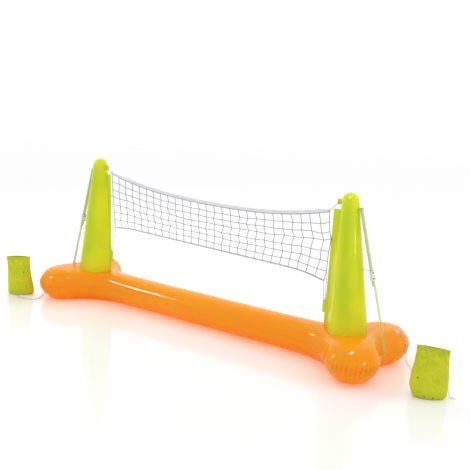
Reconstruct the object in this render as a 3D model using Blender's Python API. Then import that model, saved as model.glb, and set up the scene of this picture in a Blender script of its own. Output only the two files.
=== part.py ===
# Inflatable pool volleyball net: an air-filled base with a tower at each end,
# a net tied between the towers, a tension strap outside each tower and two anchor bags.
# Metres. X runs along the net, -Y is the front, Z is up, and the floor is z = 0.

import math

import bmesh
import bpy
import numpy as np
from mathutils import Matrix, Vector
from mathutils.bvhtree import BVHTree

# Whole object
BASE_LENGTH = 2.39
BASE_WIDTH = 0.64
TOTAL_HEIGHT = 0.914
GAP = 0.0003  # what touching pieces keep between them

# Base bladder: a tube with two lobes at each end, welded from an upper and a lower sheet
SEAM_HEIGHT = 0.100
TUBE_RADIUS = 0.095
LOBE_RADIUS = 0.1375
EASY_RISE = 0.080  # up to here over the seam the sheet bulges freely
TOP_RISE = 0.103  # and however wide the bladder is, it stays under this
TUBE_FULLNESS = 0.875  # of the tube's crown beside the lobes' crown
FLOOR_PRESS = 0.003  # how far the floor pushes the underside in
UNDER_BULGE = 0.5  # how freely the underside bulges, from 0 for ellipses to 1
NECK_FILLET = 0.27  # hollow curve from the tube to a lobe
VALLEY_FILLET = 0.15  # hollow curve between two lobes
FORK_SETBACK = 0.118  # from the lobes' centres back to where the spine forks
DIP_DEPTH = 0.026  # how far the tower's weld draws the crown down
DIP_LEAN = 0.008  # and how much further on its net side than outside
DIP_WIDTH = 0.042

# Towers
TOWER_SETBACK = 0.1225  # from the lobes' centres back to the tower's foot
TOWER_LEAN = 0.042  # how far the head stands nearer the middle than the foot
TOWER_FOOT_LEVEL = 0.178
TOWER_FOOT_RADIUS = 0.1026
TOWER_HEAD_RADIUS = 0.0453
FIN_WIDTH = 0.045  # welded flange on the net side
FIN_THICKNESS = 0.0024
FIN_DROP = 0.095  # from the tower's top down to the fin's
FIN_CORNER = 0.006

# Net
NET_COLUMNS = 27
NET_ROWS = 7
NET_CORD = 0.0034
NET_DROP_LEFT = 0.088  # from the tower's top down to the net's top strand
NET_DROP_RIGHT = 0.117
NET_DEPTH_LEFT = 0.326  # from the top strand to the bottom strand
NET_DEPTH_RIGHT = 0.341
NET_SAG = 0.082
NET_SAG_POWER = 2.5
NET_SIDE_GAP = 0.016  # from the net's head corners to the fins
NET_LEFT_DRIFT = 0.029  # how much further from the fin the left edge hangs at its foot
CORNER_PULL_LEFT = 0.013  # how far the foot rope draws each lower corner down
CORNER_PULL_RIGHT = 0.028
TIE_ROW = 3  # the row of knots that is tied to the fins
TIE_PULL_ALONG = 0.012  # how far the tie on the right fin draws the net
TIE_PULL_UP = 0.018
TIE_LIFT = 0.004
TIE_CORD = 0.0022
TIE_HOLE_INSET = 0.009
TIE_HOLE_RADIUS = 0.0028
TIE_HOLE_SHIFT = 0.001  # of the hole's middle towards the net, where the tie bends through it
NET_BAND_HEIGHT = 0.019
NET_BAND_THICKNESS = 0.0026
ROPE_DIAMETER = 0.004
CORD_DIAMETER = 0.003

# Vinyl tabs
TAB_THICKNESS = 0.002
HEAD_TAB_DROP = 0.072  # from the tower's top down to the tab's lower edge
HEAD_TAB_HEIGHT = 0.034
HEAD_TAB_REACH = 0.047
HEAD_EYE_INSET = 0.010
FOOT_TAB_TOP = 0.322
FOOT_TAB_LENGTH = 0.070
FOOT_TAB_WIDTH = 0.016
EYE_RADIUS = 0.0026

# Tension straps and their buckles
STRAP_WIDTH = 0.025
STRAP_THICKNESS = 0.0012
STRAP_TOP_DROP = 0.074  # from the tower's top down to the strap's bend
STRAP_TOP_OUT = 0.018  # from the tower's side to the loop over the tab
STRAP_LEG_SPACING = 0.0080  # between the middles of the two legs
STRAP_FOOT_OUT = 0.025  # from the seam between the lobes to the strap's foot
STRAP_FOOT_LEVEL = 0.108
STRAP_WELD = 0.016  # length of the foot tab that the strap is welded to
STRAP_TAB_MARGIN = 0.007  # of the upper tab on each side of the strap
BUCKLE_SHARE = 0.54  # of the way up the strap
BUCKLE_LENGTH = 0.050
BUCKLE_RAIL = 0.0045
BUCKLE_SKIN = 0.0026
BUCKLE_BAR = 0.005
BUCKLE_TRAVEL = 0.025
BUCKLE_SLACK = 0.0005
KEEPER_WIDTH = 0.010
KEEPER_THICKNESS = 0.002

# Anchor patches, cords and bags
PATCH_RADIUS = 0.021
PATCH_THICKNESS = 0.0016
PATCH_TURN = math.radians(-14)  # round the lobe, from straight outwards
PATCH_CLIMB = math.radians(43)  # up from the seam
RING_RADIUS = 0.0085
RING_CORD = 0.0030
ANCHOR_CORD = 0.0036
FLANK_TURN = math.radians(-6)  # where the anchor cord leaves the lobe's rim
BAG_HEIGHT = 0.248
BAG_WIDTH = 0.160
BAG_DEPTH = 0.100
BAG_WALL = 0.0025
BAG_HEM = 0.021

# Inflation valves
VALVE_SEAT_RADIUS = 0.018
VALVE_SEAT_RISE = 0.0022
VALVE_STEM_RADIUS = 0.0070
VALVE_FLANGE_RADIUS = 0.0105
VALVE_FLANGE_THICKNESS = 0.0020
VALVE_DEPTH = 0.013
VALVE_PLUG_RADIUS = 0.0034
VALVE_PLUG_LENGTH = 0.0018
VALVE_CAP_RADIUS = 0.0085
VALVE_CAP_THICKNESS = 0.0024
VALVE_HINGE_RADIUS = 0.0012
VALVE_HINGE_LENGTH = 0.0070
BASE_VALVE_TURN = math.radians(80)  # round the left back lobe, from straight outwards
BASE_VALVE_CLIMB = math.radians(30)
TOWER_VALVE_RISE = 0.20  # over the base's seam

ROUND_STEPS = 28
VALVE_STEPS = 20

END_X = BASE_LENGTH / 2
LOBE_X = END_X - LOBE_RADIUS
LOBE_Y = BASE_WIDTH / 2 - LOBE_RADIUS
FORK_X = LOBE_X - FORK_SETBACK
TOWER_FOOT_X = LOBE_X - TOWER_SETBACK
HEAD_LEVEL = TOTAL_HEIGHT - TOWER_HEAD_RADIUS
FIN_TOP = TOTAL_HEIGHT - FIN_DROP
NET_HEAD_LEFT = TOTAL_HEIGHT - NET_DROP_LEFT
NET_HEAD_RIGHT = TOTAL_HEIGHT - NET_DROP_RIGHT
NET_FOOT_LEFT = NET_HEAD_LEFT - NET_DEPTH_LEFT
NET_FOOT_RIGHT = NET_HEAD_RIGHT - NET_DEPTH_RIGHT
NET_PLANE = -(FIN_THICKNESS / 2 + NET_CORD / 2 + 2 * GAP)
HEAD_TAB_BOTTOM = TOTAL_HEIGHT - HEAD_TAB_DROP
STRAP_TOP_LEVEL = TOTAL_HEIGHT - STRAP_TOP_DROP
TOWER_VALVE_LEVEL = SEAM_HEIGHT + TOWER_VALVE_RISE


def clear_scene():
    for old in list(bpy.data.objects):
        bpy.data.objects.remove(old, do_unlink=True)


def vinyl(name, colour, roughness):
    material = bpy.data.materials.new(name)
    material.use_nodes = True
    shader = material.node_tree.nodes["Principled BSDF"]
    shader.inputs["Base Color"].default_value = (*colour, 1.0)
    shader.inputs["Roughness"].default_value = roughness
    shader.inputs["Metallic"].default_value = 0.0
    return material


def add_object(name, data, material, guide=False):
    data.materials.append(material)
    made = bpy.data.objects.new(name, data)
    bpy.context.scene.collection.objects.link(made)
    if guide:
        made.hide_render = True
        made.display_type = "WIRE"
    return made


def mesh_object(name, points, faces, material, guide=False, smooth=True):
    mesh = bpy.data.meshes.new(name)
    work = bmesh.new()
    corners = [work.verts.new(point) for point in points]
    for face in faces:
        work.faces.new([corners[index] for index in face])
    bmesh.ops.recalc_face_normals(work, faces=work.faces)
    work.to_mesh(mesh)
    work.free()
    if smooth:
        mesh.shade_smooth()
        mesh.set_sharp_from_angle(angle=math.radians(40))
    return add_object(name, mesh, material, guide)


def ring_faces(ring_count, steps):
    faces = []
    for ring in range(ring_count - 1):
        for step in range(steps):
            after = (step + 1) % steps
            low, high = ring * steps, (ring + 1) * steps
            faces.append((low + step, low + after, high + after, high + step))
    return faces


def loft(name, rings, material, guide=False, smooth=True):
    """A closed body through rings of equally many points, with a flat face on each end."""
    steps = len(rings[0])
    points = [point for ring in rings for point in ring]
    faces = ring_faces(len(rings), steps)
    faces.append(tuple(range(steps)))
    faces.append(tuple(range((len(rings) - 1) * steps, len(rings) * steps)))
    return mesh_object(name, points, faces, material, guide, smooth)


def lathe(name, profile, steps, material, guide=False):
    """A body turned round Z from (radius, height) pairs, with a flat face on each end."""
    rings = []
    for radius, height in profile:
        turns = [math.tau * step / steps for step in range(steps)]
        rings.append([Vector((radius * math.cos(a), radius * math.sin(a), height)) for a in turns])
    return loft(name, rings, material, guide)


def plate(name, outline, low, high, material, guide=False):
    """A flat sheet in the XZ plane between y = low and y = high."""
    rings = [[Vector((x, y, z)) for x, z in outline] for y in (low, high)]
    return loft(name, rings, material, guide, smooth=False)


def rounded_outline(x0, x1, z0, z1, radius, steps=4):
    corners = ((x1 - radius, z1 - radius, 0), (x0 + radius, z1 - radius, 90),
               (x0 + radius, z0 + radius, 180), (x1 - radius, z0 + radius, 270))
    outline = []
    for x, z, start in corners:
        for step in range(steps + 1):
            turn = math.radians(start + 90 * step / steps)
            outline.append((x + radius * math.cos(turn), z + radius * math.sin(turn)))
    return outline


def block(name, size, material, guide=False):
    x, y, z = (side / 2 for side in size)
    rings = [[Vector((sx * x, sy * y, level)) for sx, sy in ((-1, -1), (1, -1), (1, 1), (-1, 1))]
             for level in (-z, z)]
    return loft(name, rings, material, guide, smooth=False)


def combine(target, other, operation):
    step = target.modifiers.new(other.name, "BOOLEAN")
    step.operation = operation
    step.solver = "EXACT"
    step.object = other
    other.hide_render = True
    other.display_type = "WIRE"


def grown_copy(source, name, distance):
    """A guide whose surface lies this far outside the source's own mesh."""
    mesh = source.data.copy()
    normals = [vertex.normal.copy() for vertex in mesh.vertices]
    for vertex, normal in zip(mesh.vertices, normals):
        vertex.co += normal * distance
    mesh.materials.clear()
    return add_object(name, mesh, source.data.materials[0], guide=True)


def smooth_route(points, count):
    """Points at even steps along a smooth curve through the given ones."""
    points = [Vector(point) for point in points]
    padded = [2 * points[0] - points[1]] + points + [2 * points[-1] - points[-2]]
    fine = []
    for index in range(1, len(padded) - 2):
        a, b, c, d = padded[index - 1:index + 3]
        for step in range(24):
            t = step / 24
            fine.append(0.5 * (2 * b + (c - a) * t + (2 * a - 5 * b + 4 * c - d) * t ** 2
                               + (3 * b - a - 3 * c + d) * t ** 3))
    fine.append(points[-1])
    lengths = [0.0]
    for before, after in zip(fine, fine[1:]):
        lengths.append(lengths[-1] + (after - before).length)
    route, place = [], 0
    for step in range(count):
        target = lengths[-1] * step / (count - 1)
        while place < len(fine) - 2 and lengths[place + 1] < target:
            place += 1
        span = lengths[place + 1] - lengths[place]
        share = (target - lengths[place]) / span if span else 0.0
        route.append(fine[place].lerp(fine[place + 1], min(share, 1.0)))
    return route


def cord_object(name, route, diameter, material, knot=0.0, closed=False):
    """A round cord along the route; knot is how much wider its last points are."""
    curve = bpy.data.curves.new(name, "CURVE")
    curve.dimensions = "3D"
    curve.bevel_depth = diameter / 2
    curve.bevel_resolution = 2
    curve.use_fill_caps = True
    spline = curve.splines.new("POLY")
    spline.points.add(len(route) - 1)
    for place, point in zip(spline.points, route):
        place.co = (*point, 1.0)
    spline.use_cyclic_u = closed
    if knot:
        for place, swell in zip(reversed(spline.points), (0.55, 0.95, 1.0, 0.85)):
            place.radius = max(1.0, knot * swell)
    return add_object(name, curve, material)


def side_name(base, side):
    return f"{base}_{'right' if side > 0 else 'left'}"


def mirrored(point, side):
    return Vector((side * point[0], point[1], point[2]))


# Base bladder


def neck_centre():
    rise = TUBE_RADIUS + NECK_FILLET - LOBE_Y
    run = math.sqrt((NECK_FILLET + LOBE_RADIUS) ** 2 - rise ** 2)
    return Vector((LOBE_X - run, TUBE_RADIUS + NECK_FILLET))


def valley_centre_x():
    return LOBE_X + math.sqrt((LOBE_RADIUS + VALLEY_FILLET) ** 2 - LOBE_Y ** 2)


def valley_rim_x():
    return valley_centre_x() - VALLEY_FILLET


def quarter_sections(straight_steps=5, fork_steps=5, lobe_steps=12):
    """Seam point, spine point and crown's fullness from the tube's middle round a lobe to the valley."""
    lobe = Vector((LOBE_X, LOBE_Y))
    fork = Vector((FORK_X, 0.0))
    neck = neck_centre()
    sections = []
    for step in range(straight_steps):
        x = neck.x * step / straight_steps
        sections.append((Vector((x, TUBE_RADIUS)), Vector((x, 0.0)), TUBE_FULLNESS))
    neck_end = math.atan2(lobe.y - neck.y, lobe.x - neck.x)
    for step in range(2 * fork_steps):
        turn = -math.pi / 2 + (neck_end + math.pi / 2) * step / (2 * fork_steps)
        seam = neck + NECK_FILLET * Vector((math.cos(turn), math.sin(turn)))
        if step < fork_steps:
            spine = Vector((neck.x, 0.0)).lerp(fork, step / fork_steps)
        else:
            spine = fork.lerp(lobe, (step - fork_steps) / fork_steps)
        fullness = TUBE_FULLNESS + (1 - TUBE_FULLNESS) * min(1.0, step / fork_steps)
        sections.append((seam, spine, fullness))
    first = neck_end + math.pi
    last = math.atan2(-LOBE_Y, valley_centre_x() - LOBE_X)
    for step in range(lobe_steps + 1):
        turn = first + (last - first) * step / lobe_steps
        sections.append((lobe + LOBE_RADIUS * Vector((math.cos(turn), math.sin(turn))), lobe, 1.0))
    start = last + math.pi
    for step in range(1, fork_steps + 1):
        turn = start + (math.pi - start) * step / fork_steps
        seam = Vector((valley_centre_x(), 0.0)) + VALLEY_FILLET * Vector((math.cos(turn), math.sin(turn)))
        sections.append((seam, lobe.lerp(fork, step / fork_steps), 1.0))
    return sections


def triangle_terms(corners):
    """What one flat triangle adds to the stiffness and to the load of a stretched skin."""
    (x0, y0), (x1, y1), (x2, y2) = corners
    doubled = (x1 - x0) * (y2 - y0) - (x2 - x0) * (y1 - y0)
    if abs(doubled) < 1e-12:
        return None
    slopes = np.array([[y1 - y2, x2 - x1], [y2 - y0, x0 - x2], [y0 - y1, x1 - x0]]) / doubled
    return slopes @ slopes.T * abs(doubled) / 2, abs(doubled) / 6


def bulge_profiles(sections, levels=8):
    """For each section, how a skin held at the seam bulges: a factor at each share of the way out."""
    shares = [math.cos(math.pi / 2 * level / levels) for level in range(levels + 1)]
    numbers, spots, grid = {}, [], []
    for seam, spine, _ in sections:
        row = []
        for share in shares:
            spot = spine.lerp(seam, share)
            key = (round(spot.x, 6), round(spot.y, 6))
            if key not in numbers:
                numbers[key] = len(spots)
                spots.append(key)
            row.append(numbers[key])
        grid.append(row)
    stiffness, load = np.zeros((len(spots), len(spots))), np.zeros(len(spots))
    for row, after in zip(grid, grid[1:]):
        for k in range(levels):
            for trio in ((row[k], after[k], after[k + 1]), (row[k], after[k + 1], row[k + 1])):
                terms = triangle_terms([spots[corner] for corner in trio]) if len(set(trio)) == 3 else None
                if terms:
                    stiffness[np.ix_(trio, trio)] += terms[0]
                    load[list(trio)] += terms[1]
    free = np.setdiff1d(np.arange(len(spots)), [row[0] for row in grid])
    field = np.zeros(len(spots))
    field[free] = np.linalg.solve(stiffness[np.ix_(free, free)], load[free])
    profiles = []
    for row in grid:
        factors = [field[row[k]] / (1 - shares[k] ** 2) for k in range(1, levels + 1)]
        profiles.append((shares[:0:-1], factors[::-1]))
    return profiles


def free_bulge(profile, share):
    """Height of a free skin over the seam at a share of the way from the spine out to the seam."""
    return math.sqrt(max(0.0, 2 * (1 - share ** 2) * float(np.interp(share, *profile))))


def crown_bulge(profile, share):
    """The same for the upper skin, which the welds inside hold down."""
    free = free_bulge(profile, share)
    if free < EASY_RISE:
        return free
    room = TOP_RISE - EASY_RISE
    return EASY_RISE + room * (1 - math.exp((EASY_RISE - free) / room))


def weld_dip(x, y):
    """How far the nearer tower's weld draws the crown down at a point."""
    across = abs(x) - TOWER_FOOT_X
    reach = math.hypot(across, y)
    depth = DIP_DEPTH - DIP_LEAN * across / max(reach, 1e-6)
    return depth * math.exp(-((reach - TOWER_FOOT_RADIUS) / DIP_WIDTH) ** 2)


def under_depth(profile, share):
    """How far under the seam the lower skin would hang if there were no floor."""
    oval = math.sqrt(1 - share ** 2)
    free = free_bulge(profile, share) / TUBE_RADIUS
    return (SEAM_HEIGHT + FLOOR_PRESS) * (oval + UNDER_BULGE * (free - oval))


def under_column(seam, spine, profile, levels):
    """Points of one section from the spine on the floor out to just under the seam."""
    shares = [step / 400 for step in range(400)]
    touch = math.acos(next(share for share in shares if under_depth(profile, share) < SEAM_HEIGHT))
    column = [Vector((spine.x, spine.y, 0.0))]
    for level in range(levels, 0, -1):
        share = math.cos(touch * level / levels)
        flat = spine.lerp(seam, share)
        height = SEAM_HEIGHT - under_depth(profile, share) if level < levels else 0.0
        column.append(Vector((flat.x, flat.y, max(0.0, height))))
    return column


def base_shape():
    """The bladder as a working mesh of triangles."""
    quarter = quarter_sections()
    quarter = [(*section, profile) for section, profile in zip(quarter, bulge_profiles(quarter))]
    across, along = Vector((1, -1)), Vector((-1, 1))
    half = quarter + [(a * across, b * across, *rest) for a, b, *rest in reversed(quarter[:-1])]
    sections = half + [(a * along, b * along, *rest) for a, b, *rest in reversed(half[1:-1])]
    crown_levels, under_levels = 6, 4
    points = []
    for seam, spine, fullness, profile in sections:
        points += under_column(seam, spine, profile, under_levels)
        for level in range(crown_levels + 1):
            share = math.cos(math.pi / 2 * level / crown_levels)
            flat = spine.lerp(seam, share)
            rise = fullness * crown_bulge(profile, share) - weld_dip(flat.x, flat.y) if level else 0.0
            points.append(Vector((flat.x, flat.y, SEAM_HEIGHT + rise)))
    column = under_levels + crown_levels + 2
    count = len(sections)
    work = bmesh.new()
    corners = [work.verts.new(point) for point in points]
    for section in range(count):
        after = (section + 1) % count
        for level in range(column - 1):
            a, b = section * column + level, after * column + level
            work.faces.new((corners[a], corners[b], corners[b + 1], corners[a + 1]))
    bmesh.ops.remove_doubles(work, verts=work.verts, dist=1e-5)
    bmesh.ops.recalc_face_normals(work, faces=work.faces)
    bmesh.ops.triangulate(work, faces=work.faces)
    return work


def base_mesh_object(shape, material):
    mesh = bpy.data.meshes.new("base_bladder")
    shape.to_mesh(mesh)
    mesh.shade_smooth()
    return add_object("base_bladder", mesh, material)


def skin_point(skin, start, out, above=0.0):
    """Point and outward direction where a line outwards from inside meets the bladder's skin."""
    hit, normal = skin.ray_cast(start + out * BASE_WIDTH, -out)[:2]
    return hit + normal * above, normal


def lobe_surface(skin, turn, climb, above=0.0):
    """Point and outward direction on a back lobe of the right end."""
    out = Vector((math.cos(turn) * math.cos(climb), math.sin(turn) * math.cos(climb), math.sin(climb)))
    return skin_point(skin, Vector((LOBE_X, LOBE_Y, SEAM_HEIGHT)), out, above)


# Towers


def tower_axis_x(height):
    share = (height - TOWER_FOOT_LEVEL) / (HEAD_LEVEL - TOWER_FOOT_LEVEL)
    return TOWER_FOOT_X - TOWER_LEAN * share


def tower_radius(height):
    share = (height - TOWER_FOOT_LEVEL) / (HEAD_LEVEL - TOWER_FOOT_LEVEL)
    return TOWER_FOOT_RADIUS + (TOWER_HEAD_RADIUS - TOWER_FOOT_RADIUS) * share


def inner_side_x(height):
    return tower_axis_x(height) - tower_radius(height)


def outer_side_x(height):
    return tower_axis_x(height) + tower_radius(height)


def fin_edge_x(height):
    return inner_side_x(height) - FIN_WIDTH


def tower_object(side, material):
    cone_rings, dome_rings = 5, 5
    levels = []
    for ring in range(cone_rings + 1):
        height = SEAM_HEIGHT + (HEAD_LEVEL - SEAM_HEIGHT) * ring / cone_rings
        levels.append((tower_axis_x(height), tower_radius(height), height))
    for ring in range(1, dome_rings + 1):
        angle = math.pi / 2 * ring / (dome_rings + 0.6)
        levels.append((tower_axis_x(HEAD_LEVEL), TOWER_HEAD_RADIUS * math.cos(angle),
                       HEAD_LEVEL + TOWER_HEAD_RADIUS * math.sin(angle)))
    points = []
    for centre, radius, height in levels:
        for step in range(ROUND_STEPS):
            turn = math.tau * (step + 0.5) / ROUND_STEPS
            points.append(Vector((side * (centre + radius * math.cos(turn)),
                                  radius * math.sin(turn), height)))
    faces = ring_faces(len(levels), ROUND_STEPS)
    faces.append(tuple(range(ROUND_STEPS)))
    apex = len(points)
    points.append(Vector((side * tower_axis_x(HEAD_LEVEL), 0.0, TOTAL_HEIGHT)))
    last = (len(levels) - 1) * ROUND_STEPS
    for step in range(ROUND_STEPS):
        faces.append((last + step, last + (step + 1) % ROUND_STEPS, apex))
    return mesh_object(side_name("tower", side), points, faces, material)


def fin_object(side, material):
    foot, corner = SEAM_HEIGHT, FIN_CORNER
    outline = [(side * tower_axis_x(foot), foot), (side * fin_edge_x(foot), foot),
               (side * fin_edge_x(FIN_TOP - corner), FIN_TOP - corner),
               (side * (fin_edge_x(FIN_TOP) + corner), FIN_TOP),
               (side * tower_axis_x(FIN_TOP), FIN_TOP)]
    half = FIN_THICKNESS / 2
    return plate(side_name("fin_shape", side), outline, -half, half, material, guide=True)


# Net


def net_head(share):
    sag = NET_SAG * (1 - abs(2 * share - 1) ** NET_SAG_POWER)
    return NET_HEAD_LEFT + (NET_HEAD_RIGHT - NET_HEAD_LEFT) * share - sag


def net_foot(share):
    left_pull = CORNER_PULL_LEFT * max(0.0, 1 - 12 * share)
    right_pull = CORNER_PULL_RIGHT * max(0.0, 8 * share - 7) ** 1.5
    return NET_FOOT_LEFT + (NET_FOOT_RIGHT - NET_FOOT_LEFT) * share - left_pull - right_pull


def net_left_x(down):
    height = net_head(0) + (net_foot(0) - net_head(0)) * down
    return -fin_edge_x(height) + NET_SIDE_GAP + NET_LEFT_DRIFT * down ** 1.5


def net_right_x(down):
    height = net_head(1) + (net_foot(1) - net_head(1)) * down
    return fin_edge_x(height) - NET_SIDE_GAP * (0.55 + 1.0 * (1 - down) ** 4 + 0.7 * down ** 12)


def tie_pull(share, down):
    """How strongly the tie on the right fin draws a knot of the net, from 0 to 1."""
    row = TIE_ROW / NET_ROWS
    return math.exp(-(1 - share) / 0.16) * math.exp(-((down - row) / 0.10) ** 2)


def net_point(share, down):
    left, right = net_left_x(down), net_right_x(down)
    x = left + (right - left) * share
    z = net_head(share) + (net_foot(share) - net_head(share)) * down
    pull = tie_pull(share, down)
    return Vector((x + TIE_PULL_ALONG * pull, NET_PLANE, z + TIE_PULL_UP * pull))


def net_object(material):
    points, faces = [], []
    for row in range(NET_ROWS + 1):
        for column in range(NET_COLUMNS + 1):
            points.append(net_point(column / NET_COLUMNS, row / NET_ROWS))
    for row in range(NET_ROWS):
        for column in range(NET_COLUMNS):
            corner = row * (NET_COLUMNS + 1) + column
            below = corner + NET_COLUMNS + 1
            faces.append((corner, corner + 1, below + 1, below))
    net = mesh_object("net_mesh", points, faces, material, smooth=False)
    cords = net.modifiers.new("cords", "WIREFRAME")
    cords.thickness = NET_CORD
    cords.use_even_offset = False
    cords.use_boundary = True
    cords.use_replace = True
    return net


def band_bottom(share):
    return net_head(share) + NET_CORD / 2 + GAP


def band_height(share):
    """The tape is twisted thin where it leaves the left tower and opens out to its full height."""
    opening = min(1.0, 0.45 + share / 0.10 * 0.55)
    closing = min(1.0, 0.6 + (1 - share) / 0.03 * 0.4)
    return NET_BAND_HEIGHT * min(opening, closing)


def band_object(material):
    half = NET_BAND_THICKNESS / 2
    rings = []
    for column in range(NET_COLUMNS + 1):
        share = column / NET_COLUMNS
        x = net_point(share, 0).x
        low, high = band_bottom(share), band_bottom(share) + band_height(share)
        middle = (low + high) / 2
        rings.append([Vector((x, NET_PLANE, low)), Vector((x, NET_PLANE - half, low + half)),
                      Vector((x, NET_PLANE - half, middle)), Vector((x, NET_PLANE - half, high - half)),
                      Vector((x, NET_PLANE, high)), Vector((x, NET_PLANE + half, high - half)),
                      Vector((x, NET_PLANE + half, middle)), Vector((x, NET_PLANE + half, low + half))])
    return loft("net_headband", rings, material)


def foot_eye(side):
    """Middle of the eye that takes the foot rope, in the tab low on the net side of a tower."""
    height = FOOT_TAB_TOP - FOOT_TAB_WIDTH * 0.6
    return Vector((side * (fin_edge_x(height) - GAP - FOOT_TAB_WIDTH / 2), 0.0, height))


def head_eye(side):
    height = HEAD_TAB_BOTTOM + HEAD_TAB_HEIGHT / 2
    return Vector((side * (inner_side_x(height) - HEAD_TAB_REACH + HEAD_EYE_INSET), 0.0, height))


def through_eye(eye):
    """Points from the net's plane straight through a tab's eye to a knot behind it, with radii."""
    back = TAB_THICKNESS / 2
    return [(Vector((eye.x, y, eye.z)), swell) for y, swell in (
        (NET_PLANE, 1.0), (back, 1.0), (back + 0.0011, 1.45), (back + 0.003, 1.6), (back + 0.0044, 1.2))]


def set_radii(cord, radii, reverse=False):
    points = list(cord.data.splines[0].points)
    if reverse:
        points.reverse()
    for place, radius in zip(points, radii):
        place.radius = radius


def foot_rope_object(material):
    drop = NET_CORD / 2 + ROPE_DIAMETER / 2 + 4 * GAP
    count = 33
    along = []
    for step in range(count):
        point = net_point(step / (count - 1), 1.0)
        along.append(Vector((point.x, NET_PLANE, point.z - drop)))
    ends = []
    for side, corner in ((-1, along[0]), (1, along[-1])):
        eye = foot_eye(side)
        level_eye = Vector((eye.x, NET_PLANE, eye.z))
        steps = max(6, round((corner - eye).length / 0.012))
        down = [corner.lerp(level_eye, step / steps) for step in range(1, steps)]
        ends.append((down, through_eye(eye)))
    (left_down, left_eye), (right_down, right_eye) = ends
    route = [point for point, swell in reversed(left_eye)] + left_down[::-1] + along + right_down
    route += [point for point, swell in right_eye]
    rope = cord_object("net_foot_rope", route, ROPE_DIAMETER, material)
    set_radii(rope, [swell for point, swell in reversed(left_eye)])
    set_radii(rope, [swell for point, swell in reversed(right_eye)], reverse=True)
    return rope


def head_tie_object(side, material):
    """Tie from the end of the headband to the eye of the head tab."""
    share = 1.0 if side > 0 else 0.0
    corner = net_point(share, 0)
    start = Vector((corner.x + side * GAP, NET_PLANE, band_bottom(share) + band_height(share) / 2))
    eye = head_eye(side)
    through = through_eye(eye)
    turn = start + Vector((side * ROPE_DIAMETER * 0.8, 0, 0))
    route = [start] + smooth_route([turn, turn.lerp(through[0][0], 0.5), through[0][0]], 9)
    route += [point for point, swell in through[1:]]
    tie = cord_object(side_name("net_head_tie", side), route, ROPE_DIAMETER, material)
    set_radii(tie, [swell for point, swell in reversed(through)], reverse=True)
    return tie


def side_cord_object(side, material):
    """Selvedge cord from the lowest knot but one of the net's side down to the foot tab."""
    share = 1.0 if side > 0 else 0.0
    edge = net_point(share, (NET_ROWS - 1) / NET_ROWS)
    spacing = (NET_CORD + CORD_DIAMETER) / 2 + GAP
    start = edge + Vector((side * spacing * 1.3, 0, -NET_CORD))
    eye = foot_eye(side)
    end = Vector((eye.x + side * FOOT_TAB_WIDTH * 0.27, 0, FOOT_TAB_TOP + GAP))
    route = smooth_route([start, start.lerp(end, 0.5), end + Vector((0, 0, 0.012)), end], 14)
    return cord_object(side_name("net_side_cord", side), route, CORD_DIAMETER, material, knot=1.6)


def side_tie_parts(side):
    """Where the side tie goes round the net's edge, and where it goes through the fin."""
    share = 1.0 if side > 0 else 0.0
    knot = net_point(share, TIE_ROW / NET_ROWS)
    above = net_point(share, (TIE_ROW - 1) / NET_ROWS)
    strand = knot.lerp(above, TIE_LIFT / (above.z - knot.z))
    level = knot.z + TIE_LIFT
    hole = Vector((side * (fin_edge_x(level) + TIE_HOLE_INSET), 0.0, level))
    return strand, hole


def side_tie_object(side, material):
    strand, hole = side_tie_parts(side)
    front = NET_PLANE - (NET_CORD + TIE_CORD) / 2 - GAP
    back = FIN_THICKNESS / 2 + TIE_CORD / 2 + GAP
    radius, middle = (back - front) / 2, (back + front) / 2
    inner_x = strand.x + side * 0.0002
    outer_x = hole.x - side * radius
    route = []
    for step in range(9):
        turn = math.pi / 2 + math.pi * step / 8
        route.append(Vector((inner_x + side * radius * math.cos(turn),
                             middle + radius * math.sin(turn), hole.z)))
    for step in range(9):
        turn = -math.pi / 2 + math.pi * step / 8
        route.append(Vector((outer_x + side * radius * math.cos(turn),
                             middle + radius * math.sin(turn), hole.z)))
    tie = cord_object(side_name("net_side_tie", side), route, TIE_CORD, material, closed=True)
    tie.data.bevel_resolution = 1
    return tie


def head_tab_object(side, material):
    top = HEAD_TAB_BOTTOM + HEAD_TAB_HEIGHT
    outer = inner_side_x(HEAD_TAB_BOTTOM) - HEAD_TAB_REACH
    outline = rounded_outline(outer, tower_axis_x(top), HEAD_TAB_BOTTOM, top, 0.006)
    outline = [(side * x, z) for x, z in outline]
    half = TAB_THICKNESS / 2
    return plate(side_name("net_head_tab", side), outline, -half, half, material)


def foot_tab_object(side, material):
    low = FOOT_TAB_TOP - FOOT_TAB_LENGTH
    middle = side * (fin_edge_x(FOOT_TAB_TOP) - GAP - FOOT_TAB_WIDTH / 2)
    lean = side * (fin_edge_x(low) - fin_edge_x(FOOT_TAB_TOP))
    outline = []
    for x, z in rounded_outline(-FOOT_TAB_WIDTH / 2, FOOT_TAB_WIDTH / 2, low, FOOT_TAB_TOP, 0.0045):
        outline.append((middle + x + lean * (FOOT_TAB_TOP - z) / FOOT_TAB_LENGTH, z))
    half = TAB_THICKNESS / 2
    return plate(side_name("net_foot_tab", side), outline, -half, half, material)


def eye_hole(name, centre, radius, material):
    depth = 0.02
    hole = lathe(name, [(radius, -depth), (radius, depth)], 12, material, guide=True)
    hole.matrix_world = Matrix.Translation(centre) @ Matrix.Rotation(math.pi / 2, 4, "X")
    return hole


# Tension straps


def strap_line():
    """Foot, head and direction of the strap's outer leg, and the way from it to the tower."""
    foot = Vector((valley_rim_x() + STRAP_FOOT_OUT, 0.0, STRAP_FOOT_LEVEL))
    head = Vector((outer_side_x(STRAP_TOP_LEVEL) + STRAP_TOP_OUT, 0.0, STRAP_TOP_LEVEL))
    along = (head - foot).normalized()
    return foot, head, along, Vector((-along.z, 0.0, along.x))


def strap_turn():
    """Rotation whose X points away from the tower and whose Z runs up the strap."""
    along, across = strap_line()[2:]
    return Matrix((-across, Vector((0, 1, 0)), along)).transposed().to_4x4()


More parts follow.
